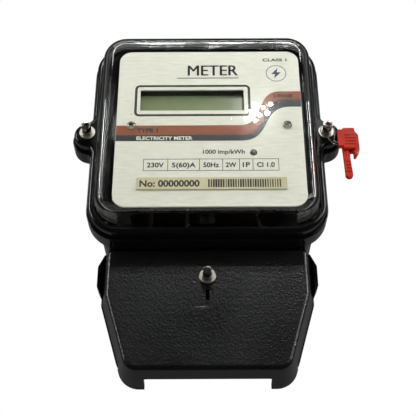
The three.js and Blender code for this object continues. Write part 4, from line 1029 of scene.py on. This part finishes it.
def fitSealingScrews():
    screwMaster, washerMaster = makeSealingScrew(), makeWasher()
    for name, body, x in (
        ("left", "left_screw", -earX), ("right", "right_screw_and_seal", earX),
        ("terminal", "terminal_screw", 0),
    ):
        sealed = name == "right"
        size = sizeOf(f"{name}_sealing_screw")
        under = size["front"] - sealingScrew["height"]
        turn = 0.0 if sealed else 1.1  # the sealed one keeps its cross hole level for the wire
        placeFasteners(
            f"{name}_screw", screwMaster, [(x, under, size["z"])], body,
            finishes["nickel_steel"], [f"{name}_sealing_screw"], turn,
        )
        placeFasteners(
            f"{name}_flat_washer", washerMaster, [(x, sizeOf(f"{name}_washer")["back"], size["z"])],
            "cover" if sealed else body, tumbledNickel, [f"{name}_washer"],
        )
    for master in (screwMaster, washerMaster):
        bpy.data.objects.remove(master)


def fitPanScrews(name, height, finishName, replaced):
    master = makePanScrew(height)
    spots = []
    for node in replaced:
        box = sizeOf(node)
        spots.append((box["x"], box["front"] - height, box["z"]))
    placeFasteners(name, master, spots, "base", finishes[finishName], replaced)
    bpy.data.objects.remove(master)


fitSealingScrews()
fitPanScrews("plate_screws", panScrew["plateHeight"], "nickel_steel", plateNames)
fitPanScrews("board_screws", panScrew["boardHeight"], "zinc_steel", boardNames)
print("screws ready")


plate = {
    "corner": 6.5, "edge": 0.15, "displayCorner": 0.4, "lampHole": 1.8, "screwHole": 1.55,
    "pin": (-37.9, 5.2), "pinHole": 0.35,
}
display = {"x": -7.4, "z": 13.7, "width": 52.3, "height": 12.9}
displayBox = (
    display["x"] - display["width"] / 2, display["x"] + display["width"] / 2,
    display["z"] - display["height"] / 2, display["z"] + display["height"] / 2,
)
ledBox = sizeOf("pulse_led")
plateScrewSpots = [(sizeOf(name)["x"], sizeOf(name)["z"]) for name in plateNames]


def makePlate():
    soft, back, front = plate["edge"], film["back"], film["front"]
    box = (film["left"], film["right"], film["bottom"], film["top"])
    body = loft([
        (back, rounded(box, plate["corner"])), (front - soft, rounded(box, plate["corner"])),
        (front, rounded(box, plate["corner"], soft)),
    ], "ivory_nameplate")
    cutters = [
        slab(rounded(displayBox, plate["displayCorner"]), back - 1, front + 1),
        disc(ledBox["x"], ledBox["z"], plate["lampHole"], back - 1, front + 1),
        disc(*plate["pin"], plate["pinHole"], back - 1, front + 1, 16),
    ]
    cutters += [disc(x, z, plate["screwHole"], back - 1, front + 1) for x, z in plateScrewSpots]
    smooth(carve(body, cutters), sharp=30)
    dress(body, "base", finishes["printed_plate"], ["nameplate"])


def joined(pieces, name):  # several meshes in one piece
    build = bmesh.new()
    for piece in pieces:
        build.from_mesh(piece.data)
        bpy.data.objects.remove(piece)
    mesh = bpy.data.meshes.new(name)
    build.to_mesh(mesh)
    build.free()
    return newPiece(name, mesh)


def meshFrom(source):
    graph = bpy.context.evaluated_depsgraph_get()
    graph.update()
    mesh = bpy.data.meshes.new_from_object(source.evaluated_get(graph), depsgraph=graph)
    bpy.data.objects.remove(source)
    return mesh


ink = {"lift": 0.005, "thick": 0.03}  # a printed layer's distance from what it lies on, and its depth
inkBack = film["front"] + ink["lift"]
inkFront = inkBack + ink["thick"]


def words(line, back=inkBack, front=inkFront, shift=0):  # one printed line of text
    text, x, z, height, width, align, bold = line
    letters = bpy.data.curves.new(text, "FONT")
    letters.body = text
    letters.extrude = 0.5
    letters.offset = bold
    letters.resolution_u = 4
    mesh = meshFrom(newPiece("words", letters))
    corners = [vertex.co for vertex in mesh.vertices]
    left, right = min(c.x for c in corners), max(c.x for c in corners)
    tall = height / max(c.y for c in corners)
    wide = width / (right - left)
    start = x + shift - (width / 2 if align == "CENTER" else 0)
    for vertex in mesh.vertices:
        c = vertex.co
        out = front if c.z > 0 else back
        vertex.co = toMetres(start + (c.x - left) * wide, out, z + c.y * tall)
    build = bmesh.new()
    build.from_mesh(mesh)
    bmesh.ops.remove_doubles(build, verts=build.verts, dist=1e-8)
    return newPiece("words", meshOf(build, "words"))


def bezier(points, steps=24):
    first, second, third, last = (Vector(point) for point in points)
    curve = []
    for step in range(steps + 1):
        t = step / steps
        s = 1 - t
        spot = first * s ** 3 + second * (3 * t * s ** 2) + third * (3 * t * t * s) + last * t ** 3
        curve.append((spot.x, spot.y))
    return curve


def outlineRing(box, radius, line):  # a printed line round a box
    ring = slab(rounded(box, radius), inkBack, inkFront)
    return carve(ring, [slab(rounded(box, radius, line), inkBack - 1, inkFront + 1)])


sweep = {  # edges of the two printed bands: low height, high height, where the curve starts and ends
    "top": (-1.9, 19.0, 16.5, 37.0), "middle": (-7.7, 13.8, 18.5, 39.0), "bottom": (-11.2, 9.3, 17.0, 42.0),
}
printing = {
    "displayLine": ((-36.4, 22.1, 3.7, 23.3), 2.6, 1.3),  # box, corner radius, line width
    "markLine": ((30.5, 41.0, 25.4, 35.9), 5.25, 0.35),
    "bolt": ((0.9, 3.4), (-2.6, -0.5), (-0.5, -0.5), (-1.2, -3.4), (2.5, 0.7), (0.4, 0.7)),
    "rule": (-15.2, 16.4, 27.5, 28.0), "titleShift": 0.35,
    "table": (-30.8, 34.8, -28.6, -21.7), "tableLine": 0.3, "columns": (-18.9, -3.6, 7.6, 15.7, 22.2),
    "cells": (
        ("230V", -24.9, 8.2), ("5(60)A", -11.2, 11.6), ("50Hz", 2.0, 7.6),
        ("2W", 11.6, 5.2), ("1P", 19.0, 3.6), ("Cl 1.0", 28.4, 8.6),
    ),
    "cellZ": -26.5, "cellHeight": 2.7, "cellBold": 0.028, "bandHole": 1.6,
}
wording = {  # text, x, z, height, width, alignment, how much bolder than the plain letters
    "title": ("METER", -9.8, 29.4, 6.6, 25.6, "LEFT", 0),
    "class": ("CLASS 1", 35.3, 38.6, 1.9, 12.5, "CENTER", 0.03),
    "constant": ("1000 imp/kWh", -2.0, -18.8, 2.4, 20.4, "LEFT", 0.026),
    "kind": ("ELECTRICITY METER", -34.6, -10.5, 2.0, 27.5, "LEFT", 0.026),
    "type": ("TYPE 1", -34.6, -6.0, 2.4, 10.4, "LEFT", 0.036),
    "phase": ("1-PHASE", 34.0, 15.2, 2.1, 9.6, "LEFT", 0.034),
}


def bandEdge(name):
    low, high, start, end = sweep[name]
    reach = (end - start) * 0.62
    curve = bezier([(start, low), (start + reach, low), (end - reach, high), (end, high)])
    return [(film["left"] + 0.1, low)] + curve + [(film["right"] - 0.1, high)]


def printBand(upper, lower):
    return slab(bandEdge(lower) + bandEdge(upper)[::-1], inkBack, inkFront)


def printTable():
    box, half = printing["table"], printing["tableLine"] / 2
    marks = [outlineRing(box, 0.1, printing["tableLine"])]
    for x in printing["columns"]:
        marks.append(block(x - half, x + half, inkBack, inkFront, box[2], box[3]))
    for text, x, width in printing["cells"]:
        height, bold = printing["cellHeight"], printing["cellBold"]
        marks.append(words((text, x, printing["cellZ"], height, width, "CENTER", bold)))
    return marks


def printPlate():
    over = inkFront + ink["lift"]  # words on the bands lie on a second layer
    layer = {"back": over, "front": over + ink["thick"] - ink["lift"]}
    black = [outlineRing(*printing["displayLine"])]
    for shift in (0, printing["titleShift"]):  # set twice for a heavier title
        black.append(words(wording["title"], shift=shift))
    left, right, bottom, top = printing["rule"]
    black.append(block(left, right, inkBack, inkFront, bottom, top))
    black += [words(wording["class"]), words(wording["constant"]), *printTable()]
    black += [words(wording["type"], **layer), words(wording["phase"], **layer)]
    markBox = printing["markLine"][0]
    markX, markZ = (markBox[0] + markBox[1]) / 2, (markBox[2] + markBox[3]) / 2
    bolt = slab([(markX + x, markZ + z) for x, z in printing["bolt"]], inkBack, inkFront)
    holes = [disc(x, z, printing["bandHole"], inkBack - 1, inkFront + 1) for x, z in plateScrewSpots]
    prints = {
        "brown": [carve(printBand("top", "middle"), holes)],
        "charcoal": [printBand("middle", "bottom")],
        "black": black,
        "navy": [outlineRing(*printing["markLine"]), bolt],
        "white": [words(wording["kind"], **layer)],
    }
    for colour, parts in prints.items():
        dress(joined(parts, f"plate_print_{colour}"), "base", inks[colour])


makePlate()
printPlate()
print("nameplate ready")


def barTree():  # a row of bars, each a random share of the pitch wide
    tree = bpy.data.node_groups.new("printBars", "GeometryNodeTree")
    for name, kind in (
        ("Bars", "NodeSocketInt"), ("Pitch", "NodeSocketFloat"), ("Height", "NodeSocketFloat"),
        ("Thickness", "NodeSocketFloat"), ("Start", "NodeSocketVector"), ("Seed", "NodeSocketInt"),
        ("Finish", "NodeSocketMaterial"),
    ):
        tree.interface.new_socket(name, in_out="INPUT", socket_type=kind)
    tree.interface.new_socket("Row", in_out="OUTPUT", socket_type="NodeSocketGeometry")
    start = addNode(tree, "NodeGroupInput")
    step = addNode(tree, "ShaderNodeCombineXYZ", None, {"X": start.outputs["Pitch"]})
    row = addNode(tree, "GeometryNodeMeshLine", None, {
        "Count": start.outputs["Bars"], "Start Location": start.outputs["Start"],
        "Offset": step.outputs["Vector"],
    })
    share = addNode(tree, "FunctionNodeRandomValue", {"data_type": "FLOAT"}, {
        2: 0.3, 3: 0.85, "Seed": start.outputs["Seed"],
    })
    wide = addNode(tree, "ShaderNodeMath", {"operation": "MULTIPLY"}, {
        0: share.outputs[1], 1: start.outputs["Pitch"],
    })
    size = addNode(tree, "ShaderNodeCombineXYZ", None, {
        "X": wide.outputs[0], "Y": start.outputs["Thickness"], "Z": start.outputs["Height"],
    })
    cube = addNode(tree, "GeometryNodeMeshCube", None, {"Size": (1.0, 1.0, 1.0)})
    copies = addNode(tree, "GeometryNodeInstanceOnPoints", None, {
        "Points": row.outputs["Mesh"], "Instance": cube.outputs["Mesh"], "Scale": size.outputs["Vector"],
    })
    real = addNode(tree, "GeometryNodeRealizeInstances", None, {"Geometry": copies.outputs["Instances"]})
    dressed = addNode(tree, "GeometryNodeSetMaterial", None, {
        "Geometry": real.outputs["Geometry"], "Material": start.outputs["Finish"],
    })
    addNode(tree, "NodeGroupOutput", None, {"Row": dressed.outputs["Geometry"]})
    return tree


label = {
    "text": "No: 00000000", "textHeight": 3.6, "textWidth": 28.6, "margin": 1.6, "bold": 0.03, "edge": 0.04,
    "bars": 30, "barLeft": 0.3, "barRight": 35.4, "barHeight": 4.4, "seed": 11,
}


def makeLabel():
    size, soft = sizeOf("serial_label"), label["edge"]
    box = (size["left"], size["right"], size["bottom"], size["top"])
    paper = loft([
        (size["back"], rounded(box, 0.3)), (size["front"] - soft, rounded(box, 0.3)),
        (size["front"], rounded(box, 0.3, soft)),
    ], "buff_serial_label")
    dress(smooth(paper), "base", finishes["printed_label"], ["serial_label"])
    back = size["front"] + ink["lift"]
    front = size["front"] + ink["thick"]
    textZ = size["z"] - 1.75
    number = words((
        label["text"], size["left"] + label["margin"], textZ, label["textHeight"], label["textWidth"],
        "LEFT", label["bold"],
    ), back, front)
    bars = newPiece("bars", bpy.data.meshes.new("bars"))
    pitch = (label["barRight"] - label["barLeft"]) / label["bars"]
    runTree(barTree(), bars, {
        "Bars": label["bars"], "Pitch": pitch / 1000, "Height": label["barHeight"] / 1000,
        "Thickness": (front - back) / 1000, "Seed": label["seed"], "Finish": inks["black"],
        "Start": toMetres(label["barLeft"] + pitch / 2, (back + front) / 2, size["z"]),
    })
    dress(joined([number, bars], "label_print"), "base", inks["black"])


makeLabel()
print("label ready")


shade = {"band": 1.2, "edge": 0.9, "past": 0.8}  # painted shadow along the display's top and right edges, where the plate's opening shades the recessed glass


def makeDisplay():
    box = (glass["left"], glass["right"], glass["bottom"], glass["top"])
    panel = loft([
        (glass["back"], rounded(box, 0.4)), (glass["front"] - 0.2, rounded(box, 0.4)),
        (glass["front"], rounded(box, 0.4, 0.2)),
    ], "display_panel")
    dress(smooth(panel), "base", finishes["lcd_panel"], ["lcd_glass"])
    back, front = glass["front"] + 0.01, glass["front"] + 0.04
    left, right, bottom, top = displayBox
    past, under = shade["past"], top - shade["band"]
    # painted shadow: a dark band along the top and a strip down the right edge, where the plate's opening
    # shades the display
    band = block(left - 1, right + past, back, front, under, top + past, "display_shade")
    edge = block(right - shade["edge"], right + past, back, front, bottom - past, under)
    dress(joined([band, edge], "display_shade"), "base", inks["olive"])


makeDisplay()


pulseLamp = {"radius": 1.5, "flange": 1.9, "flangeThick": 0.8, "tall": 6.0, "legReach": 1.1, "legHalf": 0.3}


def makeLed():
    radius, flange, thick = pulseLamp["radius"], pulseLamp["flange"], pulseLamp["flangeThick"]
    half = pulseLamp["legHalf"]
    top, x, z = ledBox["front"], ledBox["x"], ledBox["z"]
    foot = top - pulseLamp["tall"]
    neck = foot + thick
    profile = [(0, foot), (flange, foot), (flange, neck), (radius, neck), (radius, top - radius)]
    steps = 8
    for step in range(1, steps):
        angle = math.pi / 2 * step / steps
        profile.append((radius * math.cos(angle), top - radius + radius * math.sin(angle)))
    profile.append((0, top))
    parts = [turned(profile, x, z, 32, "pulse_lamp")]
    board = sizeOf("main_board")["front"] + gap
    for legX in (x - pulseLamp["legReach"], x + pulseLamp["legReach"]):
        parts.append(block(legX - half, legX + half, board, foot + 0.5, z - half, z + half))
    dress(smooth(fuse(parts)), "base", finishes["led_lens"], ["pulse_led"])


makeLed()
print("display and lamp ready")


sealBox, flagBox = sizeOf("seal_body"), sizeOf("seal_rotor")
seal = {
    "lug": 2.5, "lugThick": 3.0, "cheek": 1.7, "cheekDrop": 3.5, "cheekIn": 0.8,
    "ribs": (2.4, 4.2, 6.0, 7.8), "ribHalf": 0.3,  # heights above the housing's lower edge
    "rotor": 1.5, "rotorLeft": 1.2, "flagWidth": 4.3, "flagThick": 2.4,
    "grips": (3.5, 5.4, 7.3, 9.2), "gripHalf": 0.35,  # heights above the flag's end
    "wire": 0.35, "strand": 0.2, "twist": 0.55,
}
sealLeft, sealRight = sealBox["left"] + seal["lug"], sealBox["right"] - seal["cheek"]
sealLow, sealHigh = sealBox["bottom"] + seal["cheekDrop"], sealBox["top"]
sealX = (sealLeft + sealRight) / 2 - seal["rotorLeft"]
sealOut = (sealBox["front"] + sealBox["back"]) / 2


def softSlab(outline, back, front, soft, name="solid"):  # a slab with both of its faces drawn in a little
    count = len(outline)
    middle = Vector((sum(spot[0] for spot in outline) / count, sum(spot[1] for spot in outline) / count))

    def drawnIn(amount):
        points = []
        for x, z in outline:
            way = middle - Vector((x, z))
            points.append(tuple(Vector((x, z)) + way * min(amount / max(way.length, 0.01), 0.5)))
        return points

    return loft([
        (back, drawnIn(soft)), (back + soft * 0.3, drawnIn(soft * 0.3)), (back + soft, outline),
        (front - soft, outline), (front - soft * 0.3, drawnIn(soft * 0.3)), (front, drawnIn(soft)),
    ], name)


def makeSealHousing():
    left, right, tip, low, high = sealLeft, sealRight, sealBox["right"], sealLow, sealHigh
    back, front, inwards = sealBox["back"], sealBox["front"], seal["cheekIn"]
    main = softSlab(rounded((left, right, low, high), 1.0, 0, 8), back, front, 0.6, "seal_housing")
    lugBox = (sealBox["left"], left + 1, low + 1.5, high - 1)
    lug = softSlab(rounded(lugBox, 0.5, 0, 6), front - seal["lugThick"], front, 0.4)
    cheekOutline = filleted([
        (right - 1, sealBox["bottom"], 0.4), (right, sealBox["bottom"], 0.8), (tip, low - 0.5, 0.8),
        (tip, high - 4, 0.8), (right, high - 1.5, 0.4), (right - 1, high - 1.5, 0.4),
    ])
    cheek = softSlab(cheekOutline, back + inwards, front - inwards, 0.4)
    bore = rodAlong((sealX, sealOut, low - 4), (sealX, sealOut, high - 2.7), seal["rotor"] + gap)
    half = seal["ribHalf"]
    ribs = []
    for rise in seal["ribs"]:
        ribs.append(block(left + 1, right + 1, front - 0.3, front + 1, low + rise - half, low + rise + half))
    body = carve(fuse([main, lug, cheek]), [bore, *ribs])
    dress(smooth(body), "right_screw_and_seal", finishes["red_seal"], ["seal_body"])


def makeSealRotor():
    x, half, thick = sealX, seal["flagWidth"] / 2, seal["flagThick"] / 2
    end, top = flagBox["bottom"], sealLow - gap
    flagOutline = filleted([
        (x - half, top, 0.3), (x - half + 0.3, end, half - 0.4),
        (x + half - 0.3, end, half - 0.4), (x + half - 1.2, top, 0.3),
    ], 10)
    flag = softSlab(flagOutline, sealOut - thick, sealOut + thick, 0.5, "seal_flag")
    rod = rodAlong((x, sealOut, sealLow - 3), (x, sealOut, sealHigh - 3), seal["rotor"])
    face, grip = sealOut + thick, seal["gripHalf"]
    grips = []
    for rise in seal["grips"]:
        grips.append(block(x - 1.1, x + 1.1, face - 0.35, face + 1, end + rise - grip, end + rise + grip))
    rotor = carve(fuse([flag, rod]), grips)
    dress(smooth(rotor), "right_screw_and_seal", finishes["red_seal"], ["seal_rotor"])


def smoothPath(points, steps):  # a smooth curve through the points, as Vectors in metres
    spots = [toMetres(*point) for point in points]
    spots = [spots[0] * 2 - spots[1], *spots, spots[-1] * 2 - spots[-2]]
    path = []
    for number in range(1, len(spots) - 2):
        p0, p1, p2, p3 = spots[number - 1:number + 3]
        for step in range(steps):
            t = step / steps
            path.append(0.5 * (
                2 * p1 + (p2 - p0) * t + (2 * p0 - 5 * p1 + 4 * p2 - p3) * t ** 2
                + (3 * p1 - p0 - 3 * p2 + p3) * t ** 3
            ))
    path.append(spots[-2])
    return path


def crossWays(path):  # two directions across the path at each of its points
    side = Vector((0, 0, 1))
    ways = []
    for number in range(len(path)):
        ahead = (path[min(number + 1, len(path) - 1)] - path[max(number - 1, 0)]).normalized()
        side = (side - ahead * side.dot(ahead)).normalized()
        ways.append((side, ahead.cross(side)))
    return ways


def sweepTube(path, radius, sides=10, name="tube"):
    build = bmesh.new()
    rings = []
    turns = [2 * math.pi * step / sides for step in range(sides)]
    for spot, (side, other) in zip(path, crossWays(path)):
        spokes = [side * math.cos(turn) + other * math.sin(turn) for turn in turns]
        rings.append([build.verts.new(spot + spoke * radius / 1000) for spoke in spokes])
    for low, high in zip(rings, rings[1:]):
        for step in range(sides):
            after = (step + 1) % sides
            build.faces.new((low[step], low[after], high[after], high[step]))
    build.faces.new(rings[0])
    build.faces.new(rings[-1])
    return newPiece(name, meshOf(build, name))


def makeSealWire():  # through the screw's cross hole, round its head and back to the seal
    side = sealingScrew["head"] + 0.7
    low = cover["front"] + 1.9
    hole = earScrew["front"] - sealingScrew["holeBelow"]
    lugX = sealBox["left"] - gap
    path = smoothPath([
        (lugX, low + 1, -8.4), (lugX - 1.6, low + 0.8, -6.8), (earX + side + 0.3, low + 2, -3.6),
        (earX + side, hole, -0.5), (earX + side - 0.9, hole, 0), (earX, hole, 0),
        (earX - side + 0.9, hole, 0), (earX - side, hole, -0.5), (earX - side - 0.2, hole - 1.4, -3.2),
        (earX - 0.4, low + 1.6, -5.2), (lugX - 2.4, low + 0.2, -7.9), (lugX, low + 0.1, -9.4),
    ], 12)
    reach = (seal["wire"] - seal["strand"]) / 1000
    strands = []
    for start in (0, math.pi):  # two thin strands twisted about each other
        twisted = []
        for number, (across, other) in enumerate(crossWays(path)):
            angle = number * seal["twist"] + start
            twisted.append(path[number] + (across * math.cos(angle) + other * math.sin(angle)) * reach)
        strands.append(sweepTube(twisted, seal["strand"], 8))
    wire = joined(strands, "twisted_seal_wire")
    dress(smooth(wire, sharp=60), "right_screw_and_seal", finishes["seal_wire"], ["seal_wire"])


makeSealHousing()
makeSealRotor()
makeSealWire()
print("seal ready")


insideFinishes = {
    "terminal_block": ("black_phenolic", 0.35), "main_board": ("circuit_board", 0.1),
    "metering_chip": ("component_black", 0.12), "dropper_capacitor": ("component_yellow", 0.5),
    "reservoir_capacitor": ("component_sleeve", 0.25), "surge_varistor": ("component_blue", 0.3),
    "timing_crystal": ("zinc_steel", 0.3), "lcd_frame": ("white_plastic", 0.2),
    "upper_contact_strip": ("silicone", 0.15), "lower_contact_strip": ("silicone", 0.15),
    "plate_carrier": ("grey_plastic", 0.2), "cover_gasket": ("rubber_seal", 0.1),
    "left_insert": ("brass", 0.15), "right_insert": ("brass", 0.15), "terminal_insert": ("brass", 0.15),
    "hanger_screw": ("zinc_steel", 0.15), "hanger_bracket": ("zinc_steel", 0.15),
    "current_shunt": ("copper", 0.15), "neutral_link": ("copper", 0.15),
    "line_lead": ("lead_red", 0), "shunt_lead": ("lead_white", 0), "neutral_lead": ("lead_black", 0),
}
for wayIn in ("line_in", "line_out", "neutral_in", "neutral_out"):
    insideFinishes[f"{wayIn}_terminal"] = ("brass", 0.2)
    for row in ("lower", "upper"):
        insideFinishes[f"{wayIn}_{row}_clamp_screw"] = ("zinc_steel", 0.12)


def softenNode(name, finishName, bevel):  # a copy of a CAD piece with its edges eased
    source = nodes[name]
    copy = newPiece(f"{name}_eased", source.data.copy())
    smooth(copy, sharp=32, bevel=bevel)
    body = source["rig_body"]
    dress(copy, body, finishes[finishName], [name])


for name, (finishName, bevel) in insideFinishes.items():
    softenNode(name, finishName, bevel)
print("inside ready:", len(insideFinishes))


studio = {
    "floorZ": -0.6, "floorSize": 6.0, "floorTones": ("#F0F0EE", "#F5F5F3"),
    "room": 0.09, "behind": 0.9,  # the room's light in front of the meter and behind it
    "mirrored": 0.18,  # how much of that light the glossy surfaces mirror
    "middle": (0, 0, -0.03),
    "panels": {  # where it hangs, its width and height, its power
        "ceiling": ((0.0, -0.45, 0.85), (0.9, 0.14), 2.2),
        "leftPanel": ((-0.8, -0.3, 0.25), (0.05, 0.6), 3.0),
        "rightPanel": ((0.8, -0.3, 0.25), (0.05, 0.6), 3.0),
        "softPanel": ((0.62, -0.7, 0.06), (0.3, 0.3), 0.7),
        "frontStrip": ((0.0, -0.85, 0.78), (0.8, 0.05), 1.9),
    },
    # small lamps whose mirror images fall on the nameplate at these places
    "glints": ((24, 9), (28, 7), (22, 4), (26, 2), (30, 3), (24, -1), (19, 0), (31, 9)),
    "glintPower": 0.06, "glintSize": 0.004, "glintSpread": 3.07, "glintFrom": (-0.75, 0.511),
}


def makeFloor():
    half = studio["floorSize"] / 2
    build = bmesh.new()
    corners = [(-half, -half), (half, -half), (half, half), (-half, half)]
    build.faces.new([build.verts.new((x, y, studio["floorZ"])) for x, y in corners])
    floor = newPiece("floor", meshOf(build, "floor"))
    dark, light = studio["floorTones"]
    material, tree, shader, place = startMaterial("paintedFloor", "#F2F2F0", 0.8)
    cloud = addNode(tree, "ShaderNodeTexNoise", None, {"Vector": place, "Scale": 3.0, "Detail": 3.0})
    tone = addNode(tree, "ShaderNodeMix", {"data_type": "RGBA"}, {
        0: cloud.outputs["Fac"], 6: linear(dark), 7: linear(light),
    })
    tree.links.new(tone.outputs[2], shader.inputs["Base Color"])
    floor.data.materials.append(material)
    floor.visible_glossy = False  # the pale floor stays out of the black plastic's reflections


def addPanel(name, place, aim, size, power, colour="#FFFFFF"):
    lamp = bpy.data.lights.new(name, "AREA")
    lamp.shape = "RECTANGLE"
    lamp.size, lamp.size_y = size
    lamp.energy = power
    lamp.color = linear(colour)[:3]
    holder = bpy.data.objects.new(name, lamp)
    holder.location = place
    holder.rotation_euler = (Vector(aim) - Vector(place)).to_track_quat("-Z", "Y").to_euler()
    bpy.context.scene.collection.objects.link(holder)


def makeLight():
    world = bpy.data.worlds.new("studio")
    bpy.context.scene.world = world
    world.use_nodes = True
    tree = world.node_tree
    tree.nodes.clear()
    path = addNode(tree, "ShaderNodeLightPath")
    backdrop = addNode(tree, "ShaderNodeBackground", None, {"Color": (1, 1, 1, 1), "Strength": 1.0})
    way = addNode(tree, "ShaderNodeSeparateXYZ", None, {
        "Vector": addNode(tree, "ShaderNodeTexCoord").outputs["Generated"],
    })
    glow = addNode(tree, "ShaderNodeMapRange", {"interpolation_type": "SMOOTHSTEP"}, {
        "Value": way.outputs["Y"], "From Min": 0.0, "From Max": 0.7,
        "To Min": studio["room"], "To Max": studio["behind"],
    })
    share = addNode(tree, "ShaderNodeMath", {"operation": "MULTIPLY_ADD"}, {
        0: path.outputs["Is Glossy Ray"], 1: studio["mirrored"] - 1, 2: 1.0,
    })
    strength = addNode(tree, "ShaderNodeMath", {"operation": "MULTIPLY"}, {
        0: glow.outputs["Result"], 1: share.outputs[0],
    })
    room = addNode(tree, "ShaderNodeBackground", None, {
        "Color": (1, 1, 1, 1), "Strength": strength.outputs[0],
    })
    mix = addNode(tree, "ShaderNodeMixShader", None, {
        0: path.outputs["Is Camera Ray"], 1: room.outputs["Background"], 2: backdrop.outputs["Background"],
    })
    addNode(tree, "ShaderNodeOutputWorld", None, {"Surface": mix.outputs["Shader"]})
    for name, (place, size, power) in studio["panels"].items():
        addPanel(name, place, studio["middle"], size, power)
    y, height = studio["glintFrom"]
    spread, side, power = studio["glintSpread"] / 1000, studio["glintSize"], studio["glintPower"]
    for number, (x, z) in enumerate(studio["glints"]):
        place = (x * spread, y, height + z * spread)
        addPanel(f"glintLamp{number}", place, (x / 1000, -0.04, z / 1000), (side, side), power)


makeFloor()
makeLight()
